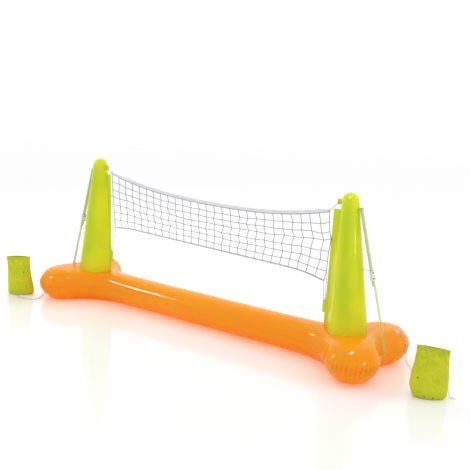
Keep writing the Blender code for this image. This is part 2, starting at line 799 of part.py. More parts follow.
def buckle_middle():
    foot, head, _, across = strap_line()
    return foot.lerp(head, BUCKLE_SHARE) + across * STRAP_LEG_SPACING / 2


def strap_object(side, material):
    """One strap: up from the foot, over the tab's bar, and back through the buckle to its tail."""
    foot, head, along, across = strap_line()
    bend = STRAP_LEG_SPACING / 2
    centre = head + across * bend
    tail_length = BUCKLE_LENGTH / 2 + BUCKLE_TRAVEL + BUCKLE_BAR
    tail = buckle_middle() + across * bend - along * tail_length
    middle_line = [(foot, across), (head, across)]
    for step in range(1, 8):
        turn = math.pi * step / 8
        out = -across * math.cos(turn) + along * math.sin(turn)
        middle_line.append((centre + out * bend, -out))
    middle_line += [(centre + across * bend, -across), (tail, -across)]
    half = STRAP_THICKNESS / 2
    inner = [point + normal * half for point, normal in middle_line]
    outer = [point - normal * half for point, normal in middle_line]
    outline = [(side * point.x, point.z) for point in inner + outer[::-1]]
    return plate(side_name("tension_strap", side), outline, -STRAP_WIDTH / 2, STRAP_WIDTH / 2, material)


def strap_tab_object(side, material):
    """Tab on the tower's outer side: a slotted sheet that ends in a round bar."""
    head, _, across = strap_line()[1:]
    bar_radius = STRAP_LEG_SPACING / 2 - STRAP_THICKNESS / 2 - GAP
    bar = head + across * (STRAP_LEG_SPACING / 2)
    width = STRAP_WIDTH + 2 * STRAP_TAB_MARGIN
    reach = (bar.x - tower_axis_x(STRAP_TOP_LEVEL)) / across.x * -1
    sheet = block(side_name("strap_tab", side), (reach, width, TAB_THICKNESS), material)
    lie = strap_turn()
    place = Matrix.Translation(bar + across * reach / 2) @ lie
    flip = Matrix.Diagonal((side, 1, 1, 1))
    slot_depth = STRAP_LEG_SPACING / 2 + STRAP_THICKNESS / 2 + 2 * GAP
    slot_size = (slot_depth - bar_radius * 0.6, STRAP_WIDTH + 4 * BUCKLE_SLACK, 10 * TAB_THICKNESS)
    slot = block("strap_slot", slot_size, material, guide=True)
    rod = lathe("strap_bar", [(bar_radius, -width / 2), (bar_radius, width / 2)], 12, material, guide=True)
    slot_place = Matrix.Translation(bar + across * (slot_depth + bar_radius * 0.6) / 2) @ lie
    rod_place = Matrix.Translation(bar) @ Matrix.Rotation(math.pi / 2, 4, "X")
    for shape, matrix in ((sheet, place), (slot, slot_place), (rod, rod_place)):
        shape.data.transform(flip @ matrix)
        if side < 0:
            shape.data.flip_normals()
    combine(sheet, slot, "DIFFERENCE")
    combine(sheet, rod, "UNION")
    return sheet


def buckle_object(side, material):
    """Slide buckle: two channels for the strap's legs and two windows that leave three bars."""
    channel = STRAP_THICKNESS + 2 * BUCKLE_SLACK
    depth = STRAP_LEG_SPACING + channel + 2 * BUCKLE_SKIN
    width = STRAP_WIDTH + 2 * BUCKLE_SLACK + 2 * BUCKLE_RAIL
    name = side_name("strap_buckle", side)
    body = block(name, (depth, width, BUCKLE_LENGTH), material)
    for offset in (-STRAP_LEG_SPACING / 2, STRAP_LEG_SPACING / 2):
        cut_size = (channel, STRAP_WIDTH + 2 * BUCKLE_SLACK, BUCKLE_LENGTH * 1.2)
        cut = block("channel", cut_size, material, guide=True)
        cut.data.transform(Matrix.Translation((offset, 0, 0)))
        combine(body, cut, "DIFFERENCE")
        cut.parent = body
    window_length = (BUCKLE_LENGTH - 3 * BUCKLE_BAR) / 2
    for offset in (-(window_length + BUCKLE_BAR) / 2, (window_length + BUCKLE_BAR) / 2):
        window_size = (depth * 1.5, STRAP_WIDTH - BUCKLE_SKIN, window_length)
        window = block("window", window_size, material, guide=True)
        window.data.transform(Matrix.Translation((0, 0, offset)))
        combine(body, window, "DIFFERENCE")
        window.parent = body
    flip = Matrix.Diagonal((side, 1, 1, 1))
    body.matrix_world = Matrix.Translation(mirrored(buckle_middle(), side)) @ flip @ strap_turn() @ flip
    return body


def strap_keeper_object(side, material):
    """Short tie that holds the strap near the tower, just above the buckle."""
    along, across = strap_line()[2:]
    top = buckle_middle() + along * (BUCKLE_LENGTH / 2 + GAP + KEEPER_THICKNESS)
    inner_leg = top + across * (STRAP_LEG_SPACING / 2 + STRAP_THICKNESS / 2 + GAP)
    z0, z1 = inner_leg.z - KEEPER_THICKNESS / 2, inner_leg.z + KEEPER_THICKNESS / 2
    x0 = tower_axis_x(inner_leg.z)
    slope = along.x / along.z
    outline = [(side * x0, z0), (side * (inner_leg.x + slope * (z0 - inner_leg.z)), z0),
               (side * (inner_leg.x + slope * (z1 - inner_leg.z)), z1), (side * x0, z1)]
    return plate(side_name("strap_keeper", side), outline, -KEEPER_WIDTH / 2, KEEPER_WIDTH / 2, material)


def strap_foot_tab_object(side, material):
    """Tab welded into the seam between two lobes, under the strap's foot."""
    foot, _, along, across = strap_line()
    half = TAB_THICKNESS / 2
    face = foot + across * (STRAP_THICKNESS / 2 + GAP)
    top = face + along * STRAP_WELD
    outline = [(valley_rim_x() - 0.02, SEAM_HEIGHT - half), (face.x - 0.004, SEAM_HEIGHT - half),
               (face.x, foot.z - 0.004), (face.x, face.z), (top.x, top.z),
               (top.x - TAB_THICKNESS, top.z), (face.x - TAB_THICKNESS * 1.5, SEAM_HEIGHT + half + 0.003),
               (face.x - TAB_THICKNESS * 3, SEAM_HEIGHT + half), (valley_rim_x() - 0.02, SEAM_HEIGHT + half)]
    outline = [(side * x, z) for x, z in outline]
    return plate(side_name("strap_foot_tab", side), outline, -STRAP_WIDTH / 2, STRAP_WIDTH / 2, material)


# Anchor patches, cords and bags

# of each bag: its middle past the base's end, its middle in y, its turn, and how far its mouth droops
BAG_PLACES = {-1: (0.109, -0.317, math.radians(38), 0.0), 1: (0.253, -0.121, math.radians(30), 0.010)}
BAG_CORD_SHARES = (-0.475, 0.65)  # of the half width along the right bag's mouth
# share of the height, half width, half depth and sideways shift as shares of the half width or half
# depth, and flatness
BAG_SECTIONS = {
    -1: ((0.00, 0.900, 0.80, 0.030, 1.0), (0.04, 1.060, 1.00, 0.050, 1.0),
         (0.20, 1.040, 1.00, 0.025, 1.1), (0.45, 0.970, 0.92, -0.040, 1.2),
         (0.70, 0.913, 0.76, -0.087, 1.4), (0.88, 0.925, 0.62, -0.125, 1.7),
         (1.00, 0.963, 0.54, -0.150, 1.9)),
    1: ((0.00, 0.880, 0.80, -0.030, 1.0), (0.05, 1.060, 1.00, -0.060, 1.0),
        (0.22, 1.165, 1.06, -0.120, 1.0), (0.42, 1.150, 1.00, -0.115, 1.1),
        (0.65, 1.055, 0.78, -0.080, 1.3), (0.85, 1.000, 0.48, -0.050, 1.6),
        (1.00, 1.000, 0.24, -0.037, 1.9))}
# points of the hanging and lying parts of the cords: x past the base's end, y and z
RIGHT_HANG = ((0.0095, 0.158, 0.082), (0.018, 0.143, 0.052), (0.042, 0.113, 0.036),
              (0.093, 0.052, 0.034), (0.141, -0.010, 0.050))
LEFT_HANG = ((0.011, 0.160, 0.060), (0.017, 0.143, 0.016))
LEFT_FLOOR = ((0.029, 0.110), (0.052, 0.030), (0.055, -0.060), (0.045, -0.135), (0.021, -0.185),
              (-0.021, -0.235), (-0.057, -0.288), (-0.073, -0.325), (-0.063, -0.358), (-0.033, -0.378),
              (0.005, -0.388), (0.045, -0.390))


def bag_place(side, along, depth, height):
    """World point from a bag's own width, depth and height."""
    out, y, turn, droop = BAG_PLACES[side]
    lower = droop * along / (BAG_WIDTH / 2) * (height / BAG_HEIGHT) ** 2
    return Vector((side * (END_X + out) + along * math.cos(turn) - depth * math.sin(turn),
                   y + along * math.sin(turn) + depth * math.cos(turn), height - lower))


def bag_section(side, share):
    """Half width, half depth, shift along the width and flatness at a share of the height."""
    sections = BAG_SECTIONS[side]
    upper = next(place for place in range(1, len(sections)) if sections[place][0] >= share - 1e-9)
    low, high = sections[upper - 1], sections[upper]
    t = (share - low[0]) / (high[0] - low[0])
    width, depth, shift, flat = [low[k] + (high[k] - low[k]) * t for k in range(1, 5)]
    return width * BAG_WIDTH / 2, depth * BAG_DEPTH / 2, shift * BAG_WIDTH / 2, flat


def bag_ring(side, share, inset=0.0, height=None, steps=24):
    width, depth, shift, flat = bag_section(side, share)
    level = BAG_HEIGHT * share if height is None else height
    ring = []
    for step in range(steps):
        turn = math.tau * step / steps
        across = math.sin(turn)
        ring.append(bag_place(side, shift + (width - inset) * math.cos(turn),
                              math.copysign(abs(across) ** flat, across) * (depth - inset), level))
    return ring


def bag_half_depth(side, along, height):
    """How far a bag's wall stands from its middle plane at a place along its width."""
    width, depth, shift, flat = bag_section(side, min(1.0, height / BAG_HEIGHT))
    return depth * (1 - min(1.0, abs((along - shift) / width)) ** 2) ** (flat / 2)


def bag_object(side, material):
    shares = [section[0] for section in BAG_SECTIONS[side]]
    rings = [bag_ring(side, share) for share in shares]
    floor_level = BAG_WALL
    for share in reversed(shares[2:]):
        rings.append(bag_ring(side, share, BAG_WALL))
    rings.append(bag_ring(side, shares[1], BAG_WALL, max(floor_level, BAG_HEIGHT * shares[1])))
    rings.append(bag_ring(side, shares[0], BAG_WALL, floor_level))
    return loft(side_name("anchor_bag", side), rings, material)


def surface_disc(name, point, normal, radius, thickness, depth, steps, material):
    profile = [(radius, -depth), (radius, thickness * 0.5), (radius - thickness * 0.5, thickness)]
    disc = lathe(name, profile, steps, material)
    disc.matrix_world = Matrix.Translation(point) @ normal.to_track_quat("Z", "Y").to_matrix().to_4x4()
    return disc


def patch_place(skin, side):
    point, normal = lobe_surface(skin, PATCH_TURN, PATCH_CLIMB)
    return mirrored(point, side), mirrored(normal, side)


def anchor_patch_object(skin, side, material):
    point, normal = patch_place(skin, side)
    return surface_disc(side_name("anchor_patch", side), point, normal, PATCH_RADIUS,
                        PATCH_THICKNESS, 0.006, 24, material)


def anchor_ring_object(skin, side, material):
    point, normal = patch_place(skin, side)
    lie = Matrix.Translation(point + normal * (PATCH_THICKNESS + RING_CORD / 2 + GAP))
    lie = lie @ normal.to_track_quat("Z", "Y").to_matrix().to_4x4()
    turns = [math.tau * step / 16 for step in range(16)]
    route = [lie @ Vector((RING_RADIUS * math.cos(turn), RING_RADIUS * math.sin(turn), 0)) for turn in turns]
    ring = cord_object(side_name("anchor_ring", side), route, RING_CORD, material, closed=True)
    ring.data.bevel_resolution = 1
    return ring


def ring_knot(skin, side):
    """Points from a knot on the patch out over the ring's cord."""
    radius = ANCHOR_CORD / 2
    point, normal = lobe_surface(skin, PATCH_TURN, PATCH_CLIMB)
    down = (lobe_surface(skin, FLANK_TURN, PATCH_CLIMB / 2)[0] - point).normalized()
    down = (down - normal * down.dot(normal)).normalized()
    low = PATCH_THICKNESS + radius + GAP
    over = PATCH_THICKNESS + RING_CORD + radius + 3 * GAP
    ring = RING_RADIUS
    route = [(-0.0020, low), (0.0010, low), (0.0040, low + 0.0014), (ring - 0.0025, over),
             (ring + 0.0025, over), (ring + 0.0085, over - 0.0004)]
    return [mirrored(point + down * reach + normal * lift, side) for reach, lift in route]


def flank_route(skin, side):
    """Points down the lobe from the ring to where the cord leaves its rim."""
    route = []
    for share in (0.68, 0.42, 0.14):
        turn = FLANK_TURN + (PATCH_TURN - FLANK_TURN) * share
        route.append(lobe_surface(skin, turn, PATCH_CLIMB * share, ANCHOR_CORD / 2 + 10 * GAP)[0])
    return [mirrored(place, side) for place in route]


def wall_point(side, along, level, diameter, sign=1):
    """Middle of a cord that lies against the back (or, with sign -1, the front) of a bag."""
    return bag_place(side, along, sign * (bag_half_depth(side, along, level) + diameter / 2 + 6 * GAP), level)


def rim_route(side, along, diameter):
    """Points from the back of a bag over its mouth and down the front to a knot."""
    clear = diameter / 2 + 4 * GAP
    half = bag_half_depth(side, along, BAG_HEIGHT)
    route = [wall_point(side, along, BAG_HEIGHT - 0.001, diameter),
             bag_place(side, along, half * 0.8 + clear * 0.4, BAG_HEIGHT + clear),
             bag_place(side, along, 0.0, BAG_HEIGHT + clear * 1.2),
             bag_place(side, along, -half * 0.8 - clear * 0.4, BAG_HEIGHT + clear)]
    for level in (BAG_HEIGHT - 0.001, BAG_HEIGHT - BAG_HEM * 0.5, BAG_HEIGHT - BAG_HEM):
        route.append(wall_point(side, along, level, diameter, -1))
    return route


def on_floor(route, diameter):
    return [Vector((x, y, max(z, diameter / 2 + GAP))) for x, y, z in route]


def past_end(side, points):
    return [Vector((side * (END_X + x), y, z)) for x, y, z in points]


def right_anchor_cord(skin, material):
    """From the knot on the patch, hanging to the back of the bag and up over its mouth."""
    near = BAG_CORD_SHARES[0] * BAG_WIDTH / 2
    hang = past_end(1, RIGHT_HANG) + [bag_place(1, near, 0.078, 0.080), bag_place(1, near, 0.056, 0.115)]
    hang += [wall_point(1, near, BAG_HEIGHT * share, ANCHOR_CORD) for share in (0.60, 0.72, 0.82, 0.92)]
    rim = rim_route(1, near, ANCHOR_CORD)
    knot = ring_knot(skin, 1)
    route = knot + smooth_route(knot[-1:] + flank_route(skin, 1) + hang + rim[:1], 62)[1:] + rim[1:]
    return cord_object("anchor_cord_right", route, ANCHOR_CORD, material)


def left_anchor_cord(skin, material):
    """From the knot on the patch down to the floor and round to a knot at the foot of the bag."""
    end_knot = []
    for along, level, swell in (
            (0.000, 0.012, 4.0), (-0.006, 0.016, 2.0), (-0.009, 0.018, 1.5), (-0.012, 0.020, 1.5)):
        clear = bag_half_depth(-1, along, level) + ANCHOR_CORD / 2 * swell + GAP
        end_knot.append(bag_place(-1, along, -clear, level))
    floor_level = ANCHOR_CORD / 2 + GAP
    hang = past_end(-1, LEFT_HANG) + past_end(-1, [(x, y, floor_level) for x, y in LEFT_FLOOR])
    knot = ring_knot(skin, -1)
    free = smooth_route(knot[-1:] + flank_route(skin, -1) + hang + [end_knot[0]], 72)
    route = knot + free[1:] + end_knot[1:]
    cord = cord_object("anchor_cord_left", on_floor(route, ANCHOR_CORD), ANCHOR_CORD, material)
    set_radii(cord, (1.0, 1.5, 1.5, 1.2), reverse=True)
    return cord


def bag_tail_cord(material):
    """Loose end that hangs from the right bag's other cord place down to the floor."""
    far, half = BAG_CORD_SHARES[1] * BAG_WIDTH / 2, BAG_WIDTH / 2
    rim = rim_route(1, far, CORD_DIAMETER)[::-1]
    down = [wall_point(1, far + shift * half, BAG_HEIGHT * share, CORD_DIAMETER) for shift, share in (
        (0.0, 0.90), (0.012, 0.77), (0.05, 0.62), (0.125, 0.44), (0.25, 0.28))]
    down += [bag_place(1, along * half, depth * half, level) for along, depth, level in (
        (1.10, 0.275, 0.035), (1.18, 0.15, 0.006), (1.275, 0.04, 0.0), (1.41, -0.15, 0.0))]
    route = rim + smooth_route(rim[-1:] + down, 34)[1:]
    return cord_object("bag_tail_cord_right", on_floor(route, CORD_DIAMETER), CORD_DIAMETER, material)


# Valves


def valve_places(skin):
    """Each valve's name with the point and outward direction of its seat."""
    slope = (TOWER_FOOT_RADIUS - TOWER_HEAD_RADIUS) / (HEAD_LEVEL - TOWER_FOOT_LEVEL)
    point, normal = lobe_surface(skin, BASE_VALVE_TURN, BASE_VALVE_CLIMB)
    places = {"base_valve": (mirrored(point, -1), mirrored(normal, -1))}
    for side in (-1, 1):
        level = TOWER_VALVE_LEVEL
        spot = Vector((side * tower_axis_x(level), tower_radius(level), level))
        places[side_name("tower_valve", side)] = (spot, Vector((0, 1, slope)).normalized())
    return places


def valve_hinge():
    """A cap's hinge in its seat's own axes."""
    flange_top = VALVE_SEAT_RISE + GAP + VALVE_FLANGE_THICKNESS
    return Vector((-VALVE_CAP_RADIUS - VALVE_HINGE_RADIUS * 0.7, 0, flange_top + GAP + VALVE_HINGE_RADIUS))


def valve_set(name, point, normal, skin, soft, rigid):
    """Welded seat, sliding stem and hinged cap, with the recess that they need; Z is outwards."""
    turn = normal.to_track_quat("Z", "Y").to_matrix().to_4x4()
    place = Matrix.Translation(point) @ turn
    bore = VALVE_STEM_RADIUS + GAP
    recess_ends = [(bore, -VALVE_DEPTH - GAP), (bore, 2 * VALVE_DEPTH)]
    recess = lathe(f"{name}_recess", recess_ends, VALVE_STEPS, soft, guide=True)
    seat_profile = [(VALVE_SEAT_RADIUS, -VALVE_DEPTH / 2), (VALVE_SEAT_RADIUS, VALVE_SEAT_RISE * 0.3),
                    (VALVE_SEAT_RADIUS - 0.002, VALVE_SEAT_RISE * 0.7), (bore + 0.002, VALVE_SEAT_RISE)]
    seat = lathe(f"{name}_seat", seat_profile, VALVE_STEPS, soft)
    stem_top = VALVE_SEAT_RISE + GAP
    flange_top = stem_top + VALVE_FLANGE_THICKNESS
    socket = VALVE_PLUG_RADIUS + GAP
    stem = lathe(f"{name}_stem", [(VALVE_STEM_RADIUS - 0.0015, -VALVE_DEPTH),
                                  (VALVE_STEM_RADIUS, -VALVE_DEPTH + 0.0015),
                                  (VALVE_STEM_RADIUS, stem_top), (VALVE_FLANGE_RADIUS, stem_top),
                                  (VALVE_FLANGE_RADIUS, flange_top), (socket, flange_top),
                                  (socket, flange_top - VALVE_PLUG_LENGTH - GAP)], VALVE_STEPS, soft)
    cap_low = GAP
    cap_high = cap_low + VALVE_CAP_THICKNESS
    edge = VALVE_CAP_THICKNESS * 0.3
    cap_profile = [(VALVE_PLUG_RADIUS * 0.7, cap_low - VALVE_PLUG_LENGTH), (VALVE_PLUG_RADIUS, cap_low),
                   (VALVE_CAP_RADIUS, cap_low), (VALVE_CAP_RADIUS, cap_high - edge),
                   (VALVE_CAP_RADIUS - edge, cap_high), (VALVE_CAP_RADIUS * 0.45, cap_high),
                   (VALVE_CAP_RADIUS * 0.35, cap_high - edge)]
    cap = lathe(f"{name}_cap", cap_profile, VALVE_STEPS, rigid)
    cap.data.transform(Matrix.Translation((-valve_hinge().x, 0, -VALVE_HINGE_RADIUS)))
    barrel_ends = [(VALVE_HINGE_RADIUS, side * VALVE_HINGE_LENGTH / 2) for side in (-1, 1)]
    barrel = lathe(f"{name}_barrel", barrel_ends, 10, rigid, guide=True)
    barrel.data.transform(Matrix.Rotation(math.pi / 2, 4, "X"))
    web_size = (2 * VALVE_HINGE_RADIUS, VALVE_HINGE_LENGTH * 0.8, VALVE_HINGE_RADIUS * 1.2)
    web = block(f"{name}_web", web_size, rigid, guide=True)
    web.data.transform(Matrix.Translation((VALVE_HINGE_RADIUS, 0, 0)))
    for piece in (barrel, web):
        combine(cap, piece, "UNION")
        piece.parent = cap
    cap.matrix_world = Matrix.Translation(place @ valve_hinge()) @ turn
    for piece in (recess, seat, stem):
        piece.matrix_world = place
    combine(seat, recess, "DIFFERENCE")
    combine(skin, recess, "DIFFERENCE")
    return seat


def main():
    clear_scene()
    orange = vinyl("base_vinyl", (0.92, 0.29, 0.02), 0.22)
    green = vinyl("tower_vinyl", (0.62, 0.68, 0.02), 0.24)
    strap_green = vinyl("strap_vinyl", (0.50, 0.56, 0.10), 0.35)
    clear = vinyl("clear_vinyl", (0.86, 0.80, 0.76), 0.25)
    white = vinyl("white_plastic", (0.85, 0.86, 0.88), 0.30)
    cord = vinyl("net_cord", (0.72, 0.72, 0.76), 0.80)
    band = vinyl("net_tape", (0.80, 0.80, 0.86), 0.75)
    bag = vinyl("bag_vinyl", (0.48, 0.56, 0.04), 0.45)

    shape = base_shape()
    skin = BVHTree.FromBMesh(shape)
    base = base_mesh_object(shape, orange)
    base_shell = grown_copy(base, "base_shell", GAP)
    towers, shells = {"base_valve": base}, {"base_valve": base_shell}
    net_object(cord)
    band_object(band)
    foot_rope_object(cord)
    for side in (-1, 1):
        tower = tower_object(side, green)
        shell = grown_copy(tower, side_name("tower_shell", side), GAP)
        towers[side_name("tower_valve", side)], shells[side_name("tower_valve", side)] = tower, shell
        tie_hole = side_tie_parts(side)[1] - Vector((side * TIE_HOLE_SHIFT, 0, 0))
        combine(tower, fin_object(side, green), "UNION")
        combine(tower, eye_hole("tie_hole", tie_hole, TIE_HOLE_RADIUS, green), "DIFFERENCE")
        combine(tower, base_shell, "DIFFERENCE")
        head_tie_object(side, cord)
        side_cord_object(side, cord)
        side_tie_object(side, cord)
        head_tab = head_tab_object(side, strap_green)
        combine(head_tab, eye_hole("head_eye_cut", head_eye(side), EYE_RADIUS, strap_green), "DIFFERENCE")
        combine(head_tab, shell, "DIFFERENCE")
        foot_tab = foot_tab_object(side, strap_green)
        combine(foot_tab, eye_hole("foot_eye_cut", foot_eye(side), EYE_RADIUS, strap_green), "DIFFERENCE")
        strap_object(side, strap_green)
        combine(strap_tab_object(side, strap_green), shell, "DIFFERENCE")
        buckle_object(side, white)
        combine(strap_keeper_object(side, strap_green), shell, "DIFFERENCE")
        combine(strap_foot_tab_object(side, orange), base_shell, "DIFFERENCE")
        combine(anchor_patch_object(skin, side, clear), base_shell, "DIFFERENCE")
        anchor_ring_object(skin, side, white)
        bag_object(side, bag)
    right_anchor_cord(skin, cord)
    left_anchor_cord(skin, cord)
    bag_tail_cord(cord)
    for name, (spot, normal) in valve_places(skin).items():
        seat = valve_set(name, spot, normal, towers[name], clear, white)
        combine(seat, shells[name], "DIFFERENCE")


main()
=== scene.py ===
# Looks of the pool volleyball net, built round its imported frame. Metres, Z up, front is -Y.
import math

import bmesh
import bpy
import numpy as np
from mathutils import Matrix, Vector, noise
from mathutils.bvhtree import BVHTree


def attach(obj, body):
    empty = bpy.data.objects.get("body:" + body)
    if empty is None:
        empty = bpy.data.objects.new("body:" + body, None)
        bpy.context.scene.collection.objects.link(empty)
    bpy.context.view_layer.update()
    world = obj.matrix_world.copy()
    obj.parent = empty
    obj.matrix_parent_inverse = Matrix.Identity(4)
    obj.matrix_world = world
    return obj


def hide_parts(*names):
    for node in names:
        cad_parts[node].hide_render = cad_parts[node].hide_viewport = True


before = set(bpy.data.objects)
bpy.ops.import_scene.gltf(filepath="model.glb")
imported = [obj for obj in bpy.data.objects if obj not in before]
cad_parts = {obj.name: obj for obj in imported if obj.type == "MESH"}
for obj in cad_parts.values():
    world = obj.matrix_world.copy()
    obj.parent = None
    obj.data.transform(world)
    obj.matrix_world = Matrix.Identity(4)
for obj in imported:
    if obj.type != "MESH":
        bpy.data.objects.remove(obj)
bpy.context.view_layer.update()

scene = bpy.context.scene
seamGap = 0.0003  # air left between pieces that touch
bothSides = (-1, 1)  # left, right
upward = Vector((0, 0, 1))

print("frame loaded:", len(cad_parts), "nodes")

# Camera
cameraSet = {"place": (2.6049, -3.5018, 1.4738), "azimuth": 34.677, "pitch": 11.852, "roll": 2.5715,
             "lens": 58.266, "sensor": 36.0}


def addCamera(cam):
    azimuth, pitch, roll = (math.radians(cam[key]) for key in ("azimuth", "pitch", "roll"))
    level = Vector((math.cos(azimuth), math.sin(azimuth), 0))
    ahead = Vector((-math.sin(azimuth) * math.cos(pitch), math.cos(azimuth) * math.cos(pitch), -math.sin(pitch)))
    above = level.cross(ahead)
    right = level * math.cos(roll) + above * math.sin(roll)
    top = above * math.cos(roll) - level * math.sin(roll)
    view = bpy.data.objects.new("view", bpy.data.cameras.new("view"))
    view.data.lens, view.data.sensor_width = cam["lens"], cam["sensor"]
    view.matrix_world = Matrix.Translation(cam["place"]) @ Matrix((right, top, -ahead)).transposed().to_4x4()
    scene.collection.objects.link(view)
    scene.camera = view


addCamera(cameraSet)


# Small helpers

def clamped(value, top=1.0):
    return min(top, max(0.0, value))


def bulged(value, power):
    return math.copysign(abs(value) ** power, value)


def turns(steps):
    return [math.tau * k / steps for k in range(steps)]


def flipped(point, side):
    return Vector((side * point[0], point[1], point[2]))


def sideWord(side):
    return "right" if side > 0 else "left"


def newObject(name, mesh):
    made = bpy.data.objects.new(name, mesh)
    scene.collection.objects.link(made)
    return made


def baked(source):
    scene.collection.objects.link(source)
    deps = bpy.context.evaluated_depsgraph_get()
    mesh = bpy.data.meshes.new_from_object(source.evaluated_get(deps), depsgraph=deps)
    bpy.data.objects.remove(source, do_unlink=True)
    return mesh


def reworked(mesh, change=None):
    work = bmesh.new()
    work.from_mesh(mesh)
    if change:
        change(work)
    bmesh.ops.recalc_face_normals(work, faces=work.faces)
    work.to_mesh(mesh)
    work.free()


def shaded(mesh, sharp=None):
    mesh.shade_smooth()
    if sharp is not None:
        mesh.set_sharp_from_angle(angle=math.radians(sharp))


def painted(piece, values):
    piece.data.attributes.new("shadeAndHem", "FLOAT", "POINT").data.foreach_set("value", values)


def dress(piece, node=None, body="frame"):
    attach(piece, body)
    if node:
        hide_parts(node)
    return piece


def pieceFrom(name, points, faces, finish, sharp=None, fixNormals=True):
    mesh = bpy.data.meshes.new(name)
    mesh.from_pydata([tuple(point) for point in points], [], faces)
    if fixNormals:
        reworked(mesh)
    shaded(mesh, sharp)
    mesh.materials.append(finish)
    return newObject(name, mesh)


def ringLoft(name, rings, finish, sharp=None, loop=False):
    count, steps, faces = len(rings), len(rings[0]), []
    for ring in range(count if loop else count - 1):
        here, after = ring * steps, (ring + 1) % count * steps
        for step in range(steps):
            along = (step + 1) % steps
            faces.append((here + step, here + along, after + along, after + step))
    if not loop:
        faces += [tuple(reversed(range(steps))), tuple(range((count - 1) * steps, count * steps))]
    return pieceFrom(name, [point for ring in rings for point in ring], faces, finish, sharp)


def turned(name, profile, steps, place, finish, sharp=35):
    rings = [[place @ Vector((radius * math.cos(turn), radius * math.sin(turn), height)) for turn in turns(steps)]
             for radius, height in profile]
    return ringLoft(name, rings, finish, sharp)


def torus(name, place, radius, across, along, steps, finish):
    rings = []
    for turn in turns(steps[0]):
        out = Vector((math.cos(turn), math.sin(turn), 0))
        rings.append([place @ (out * (radius + across * math.cos(roll)) + upward * along * math.sin(roll))
                      for roll in turns(steps[1])])
    return ringLoft(name, rings, finish, loop=True)


def boxAt(name, centre, size, turn, finish, bevel=0.0006):
    corners = [(x, y, z) for x in (-1, 1) for y in (-1, 1) for z in (-1, 1)]
    points = [centre + turn @ Vector(tuple(c[k] * size[k] / 2 for k in range(3))) for c in corners]
    faces = [(0, 1, 3, 2), (4, 6, 7, 5), (0, 4, 5, 1), (2, 3, 7, 6), (0, 2, 6, 4), (1, 5, 7, 3)]
    piece = pieceFrom(name, points, faces, finish)
    reworked(piece.data, lambda work: bmesh.ops.bevel(work, geom=work.edges[:], offset=min(bevel, min(size) * 0.45),
                                                      segments=3, profile=0.6, affect="EDGES"))
    return piece


def joined(name, parts, sharp=None, smooth=False):
    work = bmesh.new()
    finish = parts[0].data.materials[0]
    for part in parts:
        part.data.transform(part.matrix_world)
        work.from_mesh(part.data)
    mesh = bpy.data.meshes.new(name)
    work.to_mesh(mesh)
    work.free()
    mesh.materials.append(finish)
    for part in parts:
        bpy.data.objects.remove(part, do_unlink=True)
    if smooth or sharp:
        shaded(mesh, sharp)
    return newObject(name, mesh)


def cutSheet(name, outline, holes, thickness, finish, edge=0.0003):
    flat = bpy.data.curves.new(name, "CURVE")
    flat.dimensions, flat.fill_mode = "2D", "BOTH"
    for loop in [outline] + holes:
        spline = flat.splines.new("POLY")
        spline.points.add(len(loop) - 1)
        for place, (x, z) in zip(spline.points, loop):
            place.co = (x, z, 0.0, 1.0)
        spline.use_cyclic_u = True
    flat.extrude, flat.offset = thickness / 2 - edge, -edge
    flat.bevel_depth, flat.bevel_resolution = edge, 1
    mesh = baked(bpy.data.objects.new(name, flat))
    mesh.transform(Matrix.Rotation(math.pi / 2, 4, "X"))
    reworked(mesh, lambda work: bmesh.ops.remove_doubles(work, verts=work.verts, dist=1e-6))
    shaded(mesh, 50)
    mesh.materials.clear()
    mesh.materials.append(finish)
    return newObject(name, mesh)


def circleLoop(x, z, radius):
    return [(x + radius * math.cos(turn), z + radius * math.sin(turn)) for turn in turns(28)]


def roundedLoop(x0, x1, z0, z1, radius, steps=6):
    loop = []
    for x, z, start in ((x1 - radius, z1 - radius, 0), (x0 + radius, z1 - radius, 90),
                        (x0 + radius, z0 + radius, 180), (x1 - radius, z0 + radius, 270)):
        for step in range(steps + 1):
            turn = math.radians(start + 90 * step / steps)
            loop.append((x + radius * math.cos(turn), z + radius * math.sin(turn)))
    return loop


def smoothRoute(points, count):
    points = [Vector(point) for point in points]
    padded = [2 * points[0] - points[1]] + points + [2 * points[-1] - points[-2]]
    fine = []
    for index in range(1, len(padded) - 2):
        a, b, c, d = padded[index - 1:index + 3]
        for step in range(24):
            t = step / 24
            fine.append(0.5 * (2 * b + (c - a) * t + (2 * a - 5 * b + 4 * c - d) * t ** 2
                               + (3 * b - a - 3 * c + d) * t ** 3))
    fine.append(points[-1])
    lengths = [0.0]
    for before, after in zip(fine, fine[1:]):
        lengths.append(lengths[-1] + (after - before).length)
    route, place = [], 0
    for step in range(count):
        target = lengths[-1] * step / (count - 1)
        while place < len(fine) - 2 and lengths[place + 1] < target:
            place += 1
        span = lengths[place + 1] - lengths[place]
        route.append(fine[place].lerp(fine[place + 1], min((target - lengths[place]) / span, 1.0) if span else 0.0))
    return route


# Nodes

def plugged(tree, node, inputs):
    for key, value in inputs.items():
        socket = node.inputs[key]
        if isinstance(value, bpy.types.NodeSocket):
            tree.links.new(value, socket)
        else:
            socket.default_value = (*value, 1.0) if socket.type == "RGBA" and len(value) == 3 else value
    return node


def addNode(tree, kind, inputs=None, **settings):
    node = tree.nodes.new(kind)
    for key, value in settings.items():
        setattr(node, key, value)
    return plugged(tree, node, inputs or {})


def nodeOut(tree, kind, inputs=None, **settings):
    return addNode(tree, kind, inputs, **settings).outputs[0]


def maths(tree, operation, *values):
    return nodeOut(tree, "ShaderNodeMath", dict(enumerate(values)), operation=operation)


def mixColour(tree, share, first, second):
    return addNode(tree, "ShaderNodeMix", {0: share, 6: first, 7: second}, data_type="RGBA").outputs[2]


def spread(tree, value, low, high, toLow=0.0, toHigh=1.0):
    return nodeOut(tree, "ShaderNodeMapRange", {"Value": value, "From Min": low, "From Max": high,
                                                "To Min": toLow, "To Max": toHigh})


